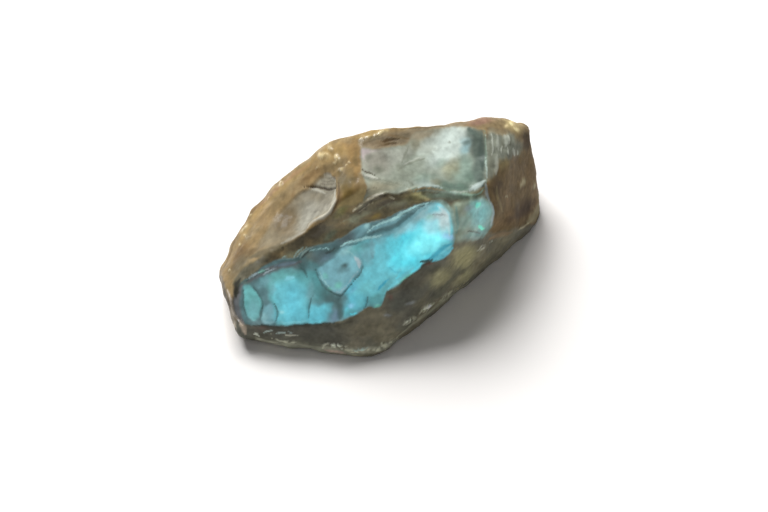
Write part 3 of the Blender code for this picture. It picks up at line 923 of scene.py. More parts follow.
PLATEAU_STREAKS = [
    (TEAL_SHADE, 0.95, 0.5, [(4.7, 11.5), (6.6, 12.1), (9.6, 12.1), (11.4, 11.4), (13.1, 10.8),
        (15.2, 10.7), (16.8, 11), (17.8, 12.1)]),
    (BAND, 0.95, 2.9, [(15, 22.2), (16.4, 21), (16.1, 18.7), (17, 16.8), (16.3, 14.7),
        (17.1, 12.4)]),
    (BAND, 0.6, 1.6, [(17.1, 22), (17.1, 18.9), (17, 15.9)]),
    (BAND_DARK, 0.55, 1.4, [(17.1, 21), (17, 18.2), (17.3, 15)]),
    (BAND_DARK, 0.25, 0.5, [(14.9, 20.5), (15.6, 19.9)]),
    (LIP_WHITE, 0.8, 0.9, [(15, 11.5), (15.9, 12.1), (16.8, 12.6), (17.7, 13.3)]),
    (LIP_WHITE, 0.8, 0.8, [(15.9, 11.7), (17.1, 12.6)]),
    (LIP_WHITE, 0.25, 0.35, [(11.5, 11.4), (13.3, 11.2), (15, 11.2)]),
    (TEAL_SHADE, 0.6, 0.5, [(17.5, 22.4), (17.8, 20.3), (17.8, 17.7), (18, 15), (18, 12.9)]),
    (LIP_WHITE, 0.4, 0.3, [(17.8, 17.1), (18, 15), (18, 13.3)]),
    (BAND, 0.5, 0.4, [(10, 12.4), (12.6, 11.9), (14.3, 11.9)]),
    (LIP_WHITE, 0.7, 0.45, [(5.8, 11.9), (7.3, 12.2), (9.1, 12.2), (10.3, 11.9)]),
    (BAND, 0.8, 0.5, [(4.9, 11.2), (7, 11.5), (9.4, 11.5), (11.9, 11), (14.3, 10.7)]),
    (CRACK_BROWN, 0.85, 0.35, [(-3.8, 15.2), (-2.8, 14.5), (-1.4, 14)]),
    (STEP_WHITE, 0.6, 0.4, [(-3.7, 14.3), (-3, 14), (-1.9, 13.6), (-0.9, 13.5)]),
    (DIM_GREY, 0.55, 0.35, [(-0.9, 13.6), (0.7, 13.1), (2.6, 12.6), (4.5, 11.9)]),
    (DIM_GREY, 0.5, 0.5, [(-0.5, 12.9), (1, 12.6), (2.4, 12.1)]),
    (STEP_WHITE, 0.5, 0.35, [(-2.8, 10), (-1.4, 10.7), (0.3, 11)]),
    (CRACK_BROWN, 0.5, 0.25, [(-3.1, 11.5), (-2.3, 12.1), (-1.2, 11.9)]),
    (STEP_WHITE, 0.3, 0.35, [(3.5, 16.1), (5.1, 16.8), (7, 17.3)]),
    (DIM_GREY, 0.6, 0.4, [(2.4, 14.9), (3.7, 15.9), (5.4, 16.6), (7.3, 17)]),
    (DIM_GREY, 0.5, 0.5, [(4.2, 19.2), (3.7, 17.7), (3.1, 16.3)]),
    (PINK_GREY, 0.7, 0.4, [(-3.8, 18.7), (-3.7, 17.7), (-3.3, 16.6)]),
    (DIM_GREY, 0.6, 0.4, [(3.7, 13.3), (4.7, 12.8), (5.4, 12.1)]),
]
lay_blots(PLATEAU_BLOTS, within=on_plateau)
lay_streaks(PLATEAU_STREAKS)
PLATEAU_LIPS = [
    # height, width and path
    (0.2, 0.8, [(-4.2, 14.7), (-3.1, 14), (-1.9, 13.6), (-0.9, 13.5)]),
    (0.14, 1, [(2.8, 11), (4.9, 11.5), (7.2, 12.1), (9.8, 12.1)]),
    (0.1, 1.1, [(14.7, 11.5), (16.3, 12.2), (17.7, 13.1)]),
]
for height, width, path in PLATEAU_LIPS:
    rise += height * streak(path, width)

# --- Shoulder ------------------------------------------------------------------------
# The small facet between the window and the thick end. Its soft teal flash is painted,
# with a glow of its own, and its two green sparks are painted glints; it fades to olive
# grey beside the window.

SHOULDER_DEPTH = 0.12
SHOULDER_GREY = shade(114, 124, 108)
SHOULDER_TEAL = shade(118, 172, 172)
SHOULDER_DEEP = shade(84, 124, 122)
SHOULDER_BLUE = shade(138, 160, 168)
SPARK_GREEN = shade(96, 222, 188)
SHOULDER = [
    (11.9, 9.3), (13.3, 9.6), (15, 10.1), (16.8, 10.5), (18.2, 10.1), (19.1, 8.4), (19.2, 6.8),
    (18.7, 5.1), (17.5, 3.5), (15.7, 2.8), (12.9, 2.3), (11.5, 2.1), (11.5, 7),
]
shoulder = patch(SHOULDER, wander=0.5)
on_shoulder = ease(shoulder, -0.4, 0.6)
rise -= SHOULDER_DEPTH * ease(shoulder, 0, 0.5)
lay(SHOULDER_GREY, on_shoulder)
set_surface(on_shoulder, light=0.4, flash=0.35, gloss=0.3, roughness=0.3, contrast=0.15)
SHOULDER_BLOTS = [
    (SHOULDER_TEAL, 1, (17, 7.3), 6.4, 4.4, 80),
    (SHOULDER_TEAL, 0.6, (16.6, 9.1), 3.4, 1.6),
    (SHOULDER_BLUE, 0.5, (14.9, 8.2), 2, 1.6),
    (SHOULDER_TEAL, 0.25, (13.8, 5.6), 2.5, 3),
    (SHOULDER_DEEP, 0.8, (18.2, 5.4), 1.6, 3),
    (SHOULDER_DEEP, 0.6, (15.9, 3.5), 5, 1.6, 10),
    (SHOULDER_DEEP, 1, (17.3, 3.8), 3, 2, 40),
    (SHOULDER_DEEP, 0.5, (16.1, 6.8), 0.9, 1.6),
    # the two green sparks are painted glints
    (SPARK_GREEN, 0.8, (16.4, 8.9), 1, 1, -40),
    (SPARK_GREEN, 1, (17.1, 4.9), 1.3, 0.8, -20),
    (SHOULDER_DEEP, 0.5, (18.5, 7.9), 1.2, 2.4),
]
SHOULDER_STREAKS = [
    (SHOULDER_BLUE, 0.55, 0.45, [(18.4, 9.8), (19.1, 8.4), (19.2, 7), (18.7, 5.2)]),
    (SHOULDER_BLUE, 0.5, 0.6, [(17.8, 12.9), (18, 11.2), (18.4, 9.8)]),
    (WALL_CHARCOAL, 0.9, 0.35, [(14.7, 4.2), (15.9, 4.2), (17, 3.8)]),
    (CHIP_TEAL, 0.5, 0.5, [(15.2, 3.3), (16.3, 3.1), (17.1, 3.3)]),
    (SHOULDER_DEEP, 0.5, 0.7, [(12.6, 8.8), (12.9, 6.3), (12.8, 3.8)]),
]
lay_blots(SHOULDER_BLOTS, within=on_shoulder)
lay_streaks(SHOULDER_STREAKS)

# --- Window --------------------------------------------------------------------------
# The broken ledge where the feldspar's layers lie just right: steel grey ground with
# cells of crystal that flash teal, sky blue and pale cyan, parted by thin dark cracks.
# The flash is painted into the colours, the same from every side, and the ground and most
# of all the cells glow of themselves.

WINDOW_DEPTH = 0.22
CELL_HEIGHT = 0.14
CRACK_DEPTH = 0.18
GROOVE_DEPTH = 0.14
LIP_HEIGHT = 0.08
BACK_CORNER = [(-6.6, 2.4), (-4.5, 4.4), (-2.1, 5.4), (0.2, 6.1), (3.5, 7.3), (7.3, 8.9)]
BACK_LEFT = [(-15.2, 0), (-13.6, 1), (-11.5, 1.8), (-9.1, 2.4)]
STEEL = shade(86, 118, 122)
STEEL_BLUE = shade(100, 126, 142)
DARK_STEEL = shade(64, 88, 88)
DIM_STEEL = shade(80, 112, 116)
SLATE = shade(80, 96, 99)
TIP_PALE = shade(138, 174, 178)
TIP_GREY = shade(122, 144, 134)
TIP_ICE = shade(160, 216, 226)
DEEP_TEAL = shade(86, 150, 154)
TEAL = shade(102, 168, 168)
GREY_TEAL = shade(112, 158, 166)
EYE_BLUE = shade(116, 168, 178)
CELL_CYAN = shade(104, 186, 198)
SKY = shade(100, 196, 216)
SKY_PALE = shade(134, 198, 210)
BRIGHT_CYAN = shade(134, 246, 255)
MID_CYAN = shade(90, 219, 237)
ICE = shade(190, 205, 204)
LAVENDER = shade(150, 198, 232)
LOBE = shade(90, 172, 188)
DEEP_BLUE = shade(48, 150, 176)
PINK_LIP = shade(164, 184, 190)
MINT = shade(108, 190, 168)
FOAM = shade(156, 200, 200)
GLASSY = shade(132, 204, 218)
SHADOW_LINE = shade(46, 50, 44)
CRESCENT_SHADE = shade(94, 94, 96)
STONE_GREY = shade(98, 104, 92)
WINDOW = [
    (-26.6, -8.2), (-26.2, -6.3), (-25.4, -4.7), (-23.3, -3.3), (-21.3, -1.9), (-19.4, -0.5),
    (-17.3, -0.3), (-15.2, -0.2), (-14.2, 1), (-12.4, 1.8), (-10.1, 2.3), (-7.7, 3.1), (-6.1, 4),
    (-4.7, 5.2), (-2.4, 5.9), (0.2, 6.6), (3.1, 8), (5.4, 9.1), (7.5, 9.6), (9.8, 9.6), (11.4, 8.9),
    (12.2, 7.3), (12.6, 4.9), (12.6, 2.8), (12.1, 1.2), (10.3, -0.2), (8.2, -0.9), (6.8, -1.2),
    (6.1, -2.3), (4.4, -3.5), (1.9, -5.1), (0.2, -6.1), (0, -8), (-1, -9.3), (-2.8, -8.8),
    (-4.2, -10), (-5.9, -10.8), (-7.5, -11.4), (-11.2, -11.9), (-16.4, -12.2), (-22.2, -12.4),
    (-24.3, -12.2), (-25.9, -10.5),
]
CELLS = [
    # colour, softness of the edge, and outline
    (TEAL, 0.3, [(-24.5, -4.7), (-23.1, -5.2), (-22.2, -6.6), (-21.2, -8), (-21.5, -9.3),
        (-22.2, -11.2), (-23.1, -11.7), (-24, -10.1), (-24.7, -7.3)]),
    (GREY_TEAL, 0.3, [(-21.5, -10.1), (-21, -8.8), (-19.9, -8.2), (-19.1, -9.1), (-18.7, -11),
        (-19.4, -12.1), (-20.8, -12.1), (-21.7, -11.4)]),
    (TEAL, 0.8, [(-22, -4), (-19.9, -2.8), (-17.3, -1.9), (-14.9, -1.9), (-13.6, -3.5),
        (-12.8, -4.5), (-12.1, -5.8), (-12.4, -7.5), (-12.9, -9.1), (-13.1, -11.5), (-15.6, -12.1),
        (-18.4, -12.2), (-18.7, -10.1), (-19.1, -8.8), (-19.8, -7.5), (-19.9, -6.1),
        (-21.3, -5.1)]),
    (CELL_CYAN, 1, [(-19.2, -4.7), (-17.1, -4.4), (-14.9, -4), (-13.5, -5.1), (-12.9, -6.5),
        (-13.1, -8), (-13.3, -11.7), (-18.4, -12.2), (-18.9, -9.1), (-19.6, -7)]),
    (DEEP_TEAL, 1, [(-13.3, -1), (-11.9, -1.4), (-11.4, -3.1), (-10.5, -5.2), (-9.4, -7),
        (-10.8, -7.9), (-12.2, -7.9), (-12.2, -5.9), (-13.1, -4)]),
    (CELL_CYAN, 0.5, [(-13.1, -9.4), (-12.8, -8.4), (-11.2, -8.8), (-8.9, -8), (-9.3, -9.4),
        (-10.3, -10.3), (-10.5, -12.2), (-13.1, -12.4)]),
    (STEEL_BLUE, 0.6, [(-8.9, -9.4), (-8, -9.4), (-7.9, -11.5), (-9.8, -11.7)]),
    (CELL_CYAN, 1.2, [(-6.6, -6.5), (-5.4, -4.9), (-4.2, -3.3), (-3.7, -1.8), (-4.5, 0.2),
        (-5.9, 1.4), (-4.7, 2.4), (-2.1, 3), (0, 3.3), (2.1, 4.5), (4.2, 5.9), (5.9, 7.7),
        (7.7, 8.8), (9.8, 9.3), (11.5, 8.4), (12.2, 5.9), (12.4, 2.8), (11.7, 0.3), (9.3, -1.6),
        (7.2, -1.9), (6.3, -3.1), (4.7, -4.7), (2.6, -6.5), (0.7, -7.3), (-3.1, -7.7),
        (-5.6, -7.3)]),
    (EYE_BLUE, 0.35, [(-11.7, -2.1), (-10.5, -1.6), (-9.3, -0.7), (-8.2, 0.5), (-7.5, 1.6),
        (-5.9, 2.1), (-4.7, 0.7), (-4, -1), (-4.2, -2.6), (-5.2, -3.8), (-6.3, -5.4), (-7, -6.5),
        (-8, -6.8), (-9.3, -6.1), (-10.5, -5.2), (-11.4, -3.7)]),
    (LOBE, 0.6, [(-6.8, -7), (-5.2, -6.5), (-3.1, -6.8), (-2.8, -8.2), (-4, -9.4), (-5.6, -10.5),
        (-7, -10.7), (-7.2, -8.8)]),
    (DEEP_TEAL, 0.7, [(-3.1, -7), (-1, -6.3), (0.3, -6.6), (0.2, -8.2), (-0.9, -9.1),
        (-2.4, -8.8)]),
    (GREY_TEAL, 0.7, [(-5.8, 3.1), (-4.9, 4.7), (-3.5, 5.8), (-2.4, 5.2), (-2.8, 4.4),
        (-4.2, 3.3)]),
]
CRACKS = [
    # width and path of each crack
    (0.5, [(-21.2, -8.6), (-21.7, -9.8), (-21.7, -11.2)]),
    (0.45, [(-19.1, -8.4), (-18.7, -9.4), (-18.9, -11.4)]),
    (0.5, [(-14.9, -1), (-14.2, -2.4), (-13.5, -3.7)]),
    (1.3, [(-7.7, -7.2), (-7.7, -9.1), (-7.7, -11.2)]),
    (0.4, [(-11.9, -2.4), (-11.5, -3.8), (-10.5, -5.6), (-9.1, -6.6), (-7.5, -7), (-6.5, -5.9),
        (-5.1, -4.2)]),
    (0.3, [(-5.1, -4.2), (-4, -2.8), (-3.7, -1.2)]),
    (0.3, [(-3, -7), (-3, -8.4), (-3.5, -9.3)]),
    (0.35, [(-24.7, -5.9), (-24.7, -8.4), (-24, -10.7)]),
    (0.35, [(-23.1, -5.1), (-22.2, -6.5), (-21.2, -7.9), (-21.5, -9.3)]),
    (0.3, [(-12.4, -7), (-13.1, -8.4), (-13.3, -10.8)]),
]
window = patch(WINDOW, wander=0.4)
on_window = ease(window, -0.12, 0.3)
mix_into(rise, 0.4 * rise, on_window)
rise -= WINDOW_DEPTH * ease(window, -0.05, 0.4)
lay(STEEL, on_window)
lay(DARK_STEEL, 0.5 * on_window * ease(small_grain + 0.4 * lump_grain, 0.05, 0.45))
set_surface(on_window, light=0.53, flash=0.45, gloss=0.3, roughness=0.3, contrast=0.09)
for colour, softness, outline in CELLS:
    cell = patch(outline, wander=0.6)
    rise += CELL_HEIGHT * ease(cell, -0.1, 0.7)
    lay(colour, on_window * ease(cell, -softness, softness))
    # the cells glow fully of themselves: their flash is a painted glow
    set_surface(on_window * ease(cell, -0.5, 0.5), flash=1)

WINDOW_BLOTS = [
    (STONE_GREY, 0.9, (-24.1, -4.5), 2.4, 1.2, 30),
    (DARK_STEEL, 0.9, (-24, -4.2), 1.4, 0.8),
    (DIM_STEEL, 0.6, (-21.2, -5.9), 2, 3.4, -30),
    (DIM_STEEL, 0.85, (-16.4, -2.4), 6, 1.8, 5),
    (DEEP_TEAL, 0.8, (-14.5, -4), 2.4, 2.8),
    (DARK_STEEL, 0.8, (-14.5, -1.6), 2.6, 2),
    (LOBE, 0.8, (-12.6, -10.1), 2, 3.6),
    (GREY_TEAL, 0.5, (-22.8, -9.6), 2.4, 4, -10),
    (DIM_STEEL, 0.5, (-24.3, -5.2), 1.8, 1.6),
    (STEEL_BLUE, 0.4, (-19.8, -8.8), 1.2, 1.2),
    (TEAL, 0.5, (-18.5, -3.3), 8, 2.4, 15),
    (GREY_TEAL, 0.8, (-21, -4.5), 3, 2, 30),
    (DEEP_TEAL, 0.8, (-13.3, -4), 1.8, 3),
    (SKY, 0.6, (-16.1, -8), 3.8, 7),
    (CELL_CYAN, 0.6, (-18.4, -10.5), 3, 3),
    (FOAM, 0.5, (-18, -10), 1.4, 0.8),
    (GREY_TEAL, 0.6, (-12.8, -6.5), 1.8, 5),
    (GREY_TEAL, 0.5, (-19.4, -5.9), 1.2, 2.4),
    (SKY, 0.7, (-11.2, -10.7), 2.2, 1.8),
    (CELL_CYAN, 0.6, (-10.1, -8.8), 2.6, 1.2, 20),
    (DARK_STEEL, 0.8, (-9.3, -7.5), 4.4, 2.8, -25),
    (DARK_STEEL, 0.55, (-10.8, -6.1), 2.6, 3),
    (MINT, 0.6, (-8, -5.1), 1.6, 1.4, 30),
    (MINT, 0.4, (-10.3, -3.7), 1.2, 1),
    (MINT, 0.4, (-9.4, -5.9), 1.2, 0.8),
    (SKY_PALE, 0.7, (-5.4, -1.8), 1.4, 3, 10),
    (FOAM, 0.5, (-6.6, 1), 3.4, 1.4, 30),
    (DARK_STEEL, 1, (-7, -1.6), 1.4, 1.3, 60),
    (STEEL, 0.6, (-7.3, -2.4), 2.4, 1.6, 30),
    (TEAL, 0.7, (-4.5, 1.2), 4, 2.4, 20),
    (GREY_TEAL, 0.7, (-3.1, 0), 2.4, 4.4),
    (DIM_STEEL, 0.5, (-3.3, 1.8), 3, 1, 15),
    (GREY_TEAL, 0.5, (-0.9, 2.8), 3, 2.4, 20),
    (MID_CYAN, 0.45, (1.8, 1.6), 4, 3.4, 30),
    (DEEP_TEAL, 0.9, (3.3, -4.2), 4.4, 1.8, 40),
    (DEEP_TEAL, 0.9, (0.2, -5.9), 2.4, 2, 40),
    (TEAL, 0.4, (-3.1, -5.6), 4, 2.4, 35),
    (DEEP_TEAL, 0.5, (1, -4.9), 2.4, 3, 40),
    (STEEL, 0.6, (-6.8, -7.5), 2, 2.6),
    (LAVENDER, 0.7, (-5.6, -5.8), 1.3, 1.6, -35),
    (MID_CYAN, 0.95, (3.5, 0), 7, 4, 36),
    (MID_CYAN, 0.8, (5.2, 3.8), 7, 3.4, 38),
    (BRIGHT_CYAN, 0.85, (7, 2.4), 9, 4.4, 36),
    (BRIGHT_CYAN, 0.85, (8.6, 3.7), 7, 5.4, 50),
    (MID_CYAN, 0.6, (4.2, 3.1), 3.4, 2.4, 36),
    (MID_CYAN, 0.9, (4.9, -1), 4.4, 2.4, 30),
    (CELL_CYAN, 0.8, (3.8, -2.8), 3, 1.8, 40),
    (TIP_ICE, 0.8, (8.2, 5.2), 3.4, 3.4, 40),
    (TIP_PALE, 0.7, (3.5, 4.7), 4.4, 1.6, 40),
    (TIP_PALE, 0.9, (6.1, 7), 4.4, 2, 35),
    (ICE, 0.85, (10.5, 6.3), 2.6, 5),
    (ICE, 0.75, (8.9, 7), 4, 1.8, 10),
    (LAVENDER, 0.8, (11.5, 3.5), 1.3, 3.4, 80),
    (TIP_PALE, 0.9, (7, 8.2), 4.4, 1.6, 25),
    (MINT, 0.4, (8, 6.8), 1.4, 1),
    (LAVENDER, 0.5, (-5.6, -8.6), 1.4, 1.4),
    (DEEP_TEAL, 0.6, (-4, -8.2), 2, 2.4, 30),
    (DEEP_TEAL, 0.7, (-5.9, -9.8), 3.4, 1.6, 10),
    (LOBE, 0.5, (-14.7, -11.2), 7, 2),
    (LOBE, 0.6, (-11.2, -11.2), 3, 1.6),
    (LOBE, 0.7, (-11, -9.6), 3.4, 2.4),
    (LOBE, 0.5, (-14.7, -10.1), 4, 2.4),
    (DEEP_TEAL, 0.35, (1.9, -3.5), 3, 1.6, 40),
    (FOAM, 0.3, (-21.2, -10.8), 1.6, 1.6),
    (TIP_ICE, 0.5, (4.9, 4.9), 3, 2, 30),
    (MID_CYAN, 0.7, (5.4, -2.3), 3.4, 1.6, 40),
    (MID_CYAN, 0.6, (7.7, 0), 2.4, 1.4, 40),
    (LOBE, 0.9, (-5.8, -5.6), 2, 3, -30),
    (MINT, 0.7, (-1, -8.9), 1.6, 0.9),
    (FOAM, 0.8, (-3, 5.2), 1.3, 0.9, 60),
    (GREY_TEAL, 0.5, (-4.5, 4.4), 2.4, 1.6, 30),
    (SLATE, 0.9, (-6.6, 3), 4.4, 2, 30),
    (DARK_STEEL, 0.8, (-9.4, 0.9), 4.4, 1.6, 20),
    (STONE_GREY, 0.7, (-13.1, 0), 2.4, 2.4, 30),
    (SLATE, 0.7, (-11.5, -0.3), 3.4, 2.4, 30),
    (SLATE, 0.6, (-12.6, -2.1), 1.6, 1.6),
    (DARK_STEEL, 0.7, (-14.5, -0.3), 1.6, 2.4, 60),
    (STEEL_BLUE, 0.5, (-10.1, -0.3), 3, 1.4, 25),
    (DARK_STEEL, 0.5, (-16.4, -0.7), 5, 1.2, 15),
    (DARK_STEEL, 0.5, (-13.6, 0.7), 5, 2, 25),
    (DARK_STEEL, 0.5, (-11.2, 1.6), 4, 1.2, 15),
    # the grey crescent ovals are painted shade below the window's upper edge
    (CRESCENT_SHADE, 0.5, (-20.5, -2.8), 4.4, 1.4, 28),
    (SLATE, 0.6, (-22, -3.7), 3.4, 1.4, 30),
    (CRESCENT_SHADE, 0.5, (-15.6, -1.6), 1.8, 1),
    (TIP_GREY, 0.85, (11, 8.8), 2.2, 1.2, -40),
    (FOAM, 0.5, (5.6, 7.7), 2.2, 0.8, 35),
    (DEEP_BLUE, 0.25, (9.3, 0.9), 2, 0.8, 40),
]
WINDOW_STREAKS = [
    # the grey crescent strokes are painted shade along the window's upper edge and in the hollow
    # inside the left rim
    (CRESCENT_SHADE, 0.8, 1.4, [(-23.8, -4.4), (-22.4, -3.5), (-20.6, -2.6), (-18.5, -1.9), (-16.3, -1.4),
        (-14.5, -1)]),
    (CRESCENT_SHADE, 0.9, 1.6, [(-25, -5.1), (-25.7, -6.5), (-26.1, -8.2), (-25.5, -10.3),
        (-24.7, -11.7)]),
    (PINK_LIP, 0.7, 0.4, [(-24.1, -4), (-22.9, -3.3), (-21.5, -2.8), (-20.3, -2.3)]),
    (MINT, 0.6, 0.6, [(-22, -3), (-20.8, -2.6)]),
    (PINK_LIP, 0.7, 0.35, [(-21.2, -3.3), (-20.1, -2.6), (-18.9, -2.1)]),
    (DARK_STEEL, 0.6, 0.4, [(-23.1, -3.7), (-21.5, -3), (-19.9, -2.4)]),
    (STEEL_BLUE, 0.6, 0.6, [(-19.1, -1.8), (-17, -1.4), (-15, -1)]),
    (GLASSY, 0.7, 0.8, [(-17.3, -4.2), (-16.4, -3.8), (-15.6, -3.8)]),
    (CHIP_TEAL, 0.9, 0.35, [(-15.9, -0.3), (-15.2, 0.7), (-14, 1.6)]),
    (CHIP_TEAL, 0.8, 0.25, [(-15.2, -0.3), (-14.5, 0.7), (-13.3, 1.6)]),
    (CHIP_TEAL, 0.8, 0.3, [(-14.7, -0.5), (-13.8, 0.7), (-12.6, 1.4)]),
    (SHADOW_LINE, 0.7, 0.4, [(-14.3, -0.5), (-13.6, 0.3), (-12.8, 0.9)]),
    (CHIP_TEAL, 0.7, 0.25, [(-17.7, -0.2), (-16.8, 0)]),
    (FOAM, 0.7, 0.3, [(-10.8, 1), (-10.1, 1.6), (-9.6, 1.2)]),
    (FOAM, 0.5, 0.25, [(-13.1, 0.7), (-11.9, 1.2), (-10.8, 1.2)]),
    (SHADOW_LINE, 0.6, 0.5, [(-10.5, 0.3), (-9.4, 0.7), (-8.6, 1.4)]),
    (FOAM, 0.4, 0.3, [(-6.8, 1.2), (-5.8, 0.5), (-4.9, -0.3)]),
    (PINK_LIP, 1, 0.8, [(-5.1, -0.2), (-4.4, -1), (-4.4, -2.1)]),
    (PINK_LIP, 0.45, 0.35, [(-4.5, -2.6), (-5.4, -3.8), (-6.6, -5.4), (-7.5, -6.3), (-8.6, -6.3)]),
    (GREY_TEAL, 0.7, 1.2, [(-2.3, 3), (-2.1, 1.4), (-2.1, -0.3)]),
    (FOAM, 0.5, 0.3, [(-11.5, -2.4), (-10.8, -4.2), (-9.6, -5.6)]),
    (DIM_STEEL, 0.7, 0.4, [(-6.5, 1.8), (-5.4, 2.1), (-4.2, 2.1)]),
    (FOAM, 0.95, 0.5, [(-7.7, 1.6), (-6.6, 2.3), (-5.6, 2.6), (-3.8, 3), (-1.8, 3.3), (-0.3, 3.7)]),
    (GREY_TEAL, 0.8, 0.9, [(-0.3, 3.7), (1.6, 4.2), (3.1, 5.2), (4.7, 6.5), (6.3, 7.9),
        (7.7, 8.6)]),
    (GREY_TEAL, 0.8, 0.9, [(-2.6, 4.2), (-0.9, 5.1), (1, 5.8), (2.8, 6.6), (4.5, 7.5)]),
    (DIM_STEEL, 0.8, 0.7, [(-2.8, 3.5), (-1, 4.4), (1.2, 4.9), (2.8, 5.8), (4.4, 7), (5.9, 8.2),
        (7.2, 8.9)]),
    (DARK_STEEL, 0.4, 0.35, [(-2.4, 3.8), (-1.2, 4.5), (0, 4.7)]),
    (DARK_STEEL, 0.5, 0.5, [(2.4, 6.1), (4, 7.2), (5.1, 7.7)]),
    (DARK_STEEL, 0.7, 0.4, [(6.1, 8.6), (7.3, 9.1)]),
    (FOAM, 0.9, 0.5, [(-3, 4), (-1.8, 5.1), (0, 5.9), (1.9, 6.6), (3.5, 7.7), (5.6, 8.8),
        (7.7, 9.3)]),
    (FOAM, 0.6, 0.6, [(1, 6.3), (2.1, 6.8), (2.8, 7)]),
    (CRESCENT_SHADE, 0.5, 0.4, [(8.4, 7.3), (9.6, 7.2), (10.8, 7.2)]),
    (ICE, 0.5, 0.8, [(9.4, 8.6), (10.5, 7.9), (11.2, 6.6), (11.4, 4.9), (11.5, 3.5)]),
    (TIP_GREY, 0.85, 0.9, [(8, 9.6), (9.8, 9.6), (11.2, 8.9), (12.1, 7.3), (12.4, 5.2),
        (12.4, 2.8)]),
    (DEEP_BLUE, 0.7, 1, [(11.9, 2.1), (10.7, 1.6), (9.6, 0.7), (8.8, -0.2), (7.5, -0.7)]),
    (LOBE, 0.9, 0.8, [(12.1, 1.4), (10.7, 0.3), (9.3, -0.5), (8, -0.9)]),
    (DEEP_BLUE, 0.8, 0.6, [(-1.2, -6.1), (-0.3, -4.9), (0.9, -4)]),
    (DEEP_BLUE, 0.35, 0.4, [(0.7, -1.8), (1.6, -2.6), (2.8, -3), (4.2, -3)]),
    (CELL_CYAN, 0.6, 1.2, [(0.7, -5.8), (2.1, -4.7), (3.5, -3.5), (5.2, -2.1)]),
    (MID_CYAN, 0.4, 1, [(2.1, -4), (3.3, -2.8), (4.9, -1.6)]),
    (MINT, 0.5, 0.4, [(2.4, -4.9), (3.8, -3.8), (5.1, -2.8)]),
    (MID_CYAN, 0.6, 0.3, [(-6.3, -10.1), (-5.4, -10.3), (-4.5, -10)]),
    (SHADOW_LINE, 0.8, 0.5, [(-23.3, -12.4), (-20.8, -12.2), (-18.2, -12.6), (-15.6, -12.2),
        (-10.8, -11.9), (-8.8, -11.7)]),
    (SHADOW_LINE, 0.9, 0.6, [(6.3, -1), (7.2, -1), (8.4, -0.7)]),
    (WALL_RED, 0.6, 0.5, [(7.2, -1.4), (8.6, -1.2)]),
]
WINDOW_LIGHTS = [
    # light, then the middle, length, width and turn of the oval that has it
    (0.72, (-17.5, -3.3), 8, 3.6, 8),
    (0.64, (-16.3, -5.1), 7, 4, 8),
    (0.46, (11.9, 5.8), 2.6, 9),
    (0.6, (5.8, 1.8), 4, 3),
]
lay_blots(WINDOW_BLOTS, within=on_window)
set_surface(streak(BACK_CORNER, 2.4), light=0.42)
set_surface(streak(BACK_LEFT, 1.4) * on_window, light=0.44)
for light, *oval in WINDOW_LIGHTS:
    set_surface(blot(*oval) * on_window, light=light)
for width, path in CRACKS:
    crack = streak(path, width)
    rise -= CRACK_DEPTH * streak(path, 1.3 * width)
    lay(DARK_STEEL, 0.65 * crack)
    set_surface(crack, flash=0.4)
# The pale foam strokes along the raised lips, and the short mint stroke near the upper left end,
# are partly painted highlights.
for colour, amount, width, path in WINDOW_STREAKS:
    stroke = amount * streak(path, width)
    lay(colour, stroke)
    if colour in (DARK_STEEL, SHADOW_LINE, DIM_STEEL):
        rise -= GROOVE_DEPTH * stroke
        set_surface(stroke, flash=0.2)
    elif colour in (FOAM, PINK_LIP):
        rise += LIP_HEIGHT * stroke

# --- Left rim ------------------------------------------------------------------------
# A thin bright lip of crust stands up round the window's left end, over a hollow painted
# dark with shade, and runs down into the stone's small dark foot. The lip's bright ridge
# line is partly a painted highlight.

RIM_TAN = shade(136, 127, 110)
RIM_GREY = shade(96, 90, 80)
RIM_WHITE = shade(216, 206, 192)
FOOT_PINK = shade(150, 136, 120)
RIM_STREAKS = [
    # colour, amount, width, height and path
    (RIM_TAN, 0.8, 1.4, 0.05, [(-28.5, -3.5), (-28.2, -5.6), (-27.3, -7.9), (-26.6, -10.3),
        (-25.9, -12.9)]),
    (RIM_GREY, 0.7, 0.5, 0, [(-28.3, -4.9), (-27.6, -7), (-26.9, -9.1)]),
    # painted shade in the hollow inside the rim
    (WALL_DARK_AND_SHADE, 1, 1.2, 0, [(-25.2, -4), (-25.9, -5.4), (-26.1, -7.2)]),
    (RIM_WHITE, 0.85, 0.4, 0.12, [(-27.3, -5.9), (-26.9, -7.3), (-26.6, -9.1), (-25.9, -10.7),
        (-24.8, -12.1)]),
    (FOOT_PINK, 0.55, 1, 0.05, [(-25.2, -11.4), (-24.5, -12.8), (-24.1, -13.6)]),
    (WALL_DARK_AND_SHADE, 0.8, 1.4, 0.12, [(-26.1, -12.6), (-25.5, -13.8), (-24.3, -14.5), (-22.6, -14.7)]),
]
for colour, amount, width, height, path in RIM_STREAKS:
    stroke = streak(path, width)
    lay(colour, amount * stroke)
    rise += height * stroke

# --- Carving and finish --------------------------------------------------------------
# The relief is carved into the skin, which never leaves the solid's box. The finish reads
# the laid colours, adds fine mottling and grain, makes the painted flash glow of itself,
# and lies under a thin clear gloss.

GLOW = 0.7
TINT_LIMIT = 0.92
WORN_CREST = (-7.3, 15.4)
MOTTLE_SIZE = 1.4
MOTTLE_SPREAD = 0.16
GRAIN_SIZE = 0.5
GRAIN_STRENGTH = 0.25
GRAIN_HEIGHT = 0.1 * MM
COAT_ROUGHNESS = 0.12

worn_crest = blot(WORN_CREST, 9, 13)
well_worn = np.maximum(on_end * (1 - ease(low_wall, -0.5, 1.5)), np.minimum(1.4 * worn_crest, 1))
base = place + (round_place - place) * well_worn[:, None]
carved = base + outward * (rise * MM)[:, None]
carved = np.clip(carved, np.array(cad_low), np.array(cad_high))
stone_mesh.vertices.foreach_set("co", carved.ravel())
mottling = 1 + surface["contrast"] * (0.9 * small_grain + 0.9 * fine_grain + 0.7 * finest_grain)
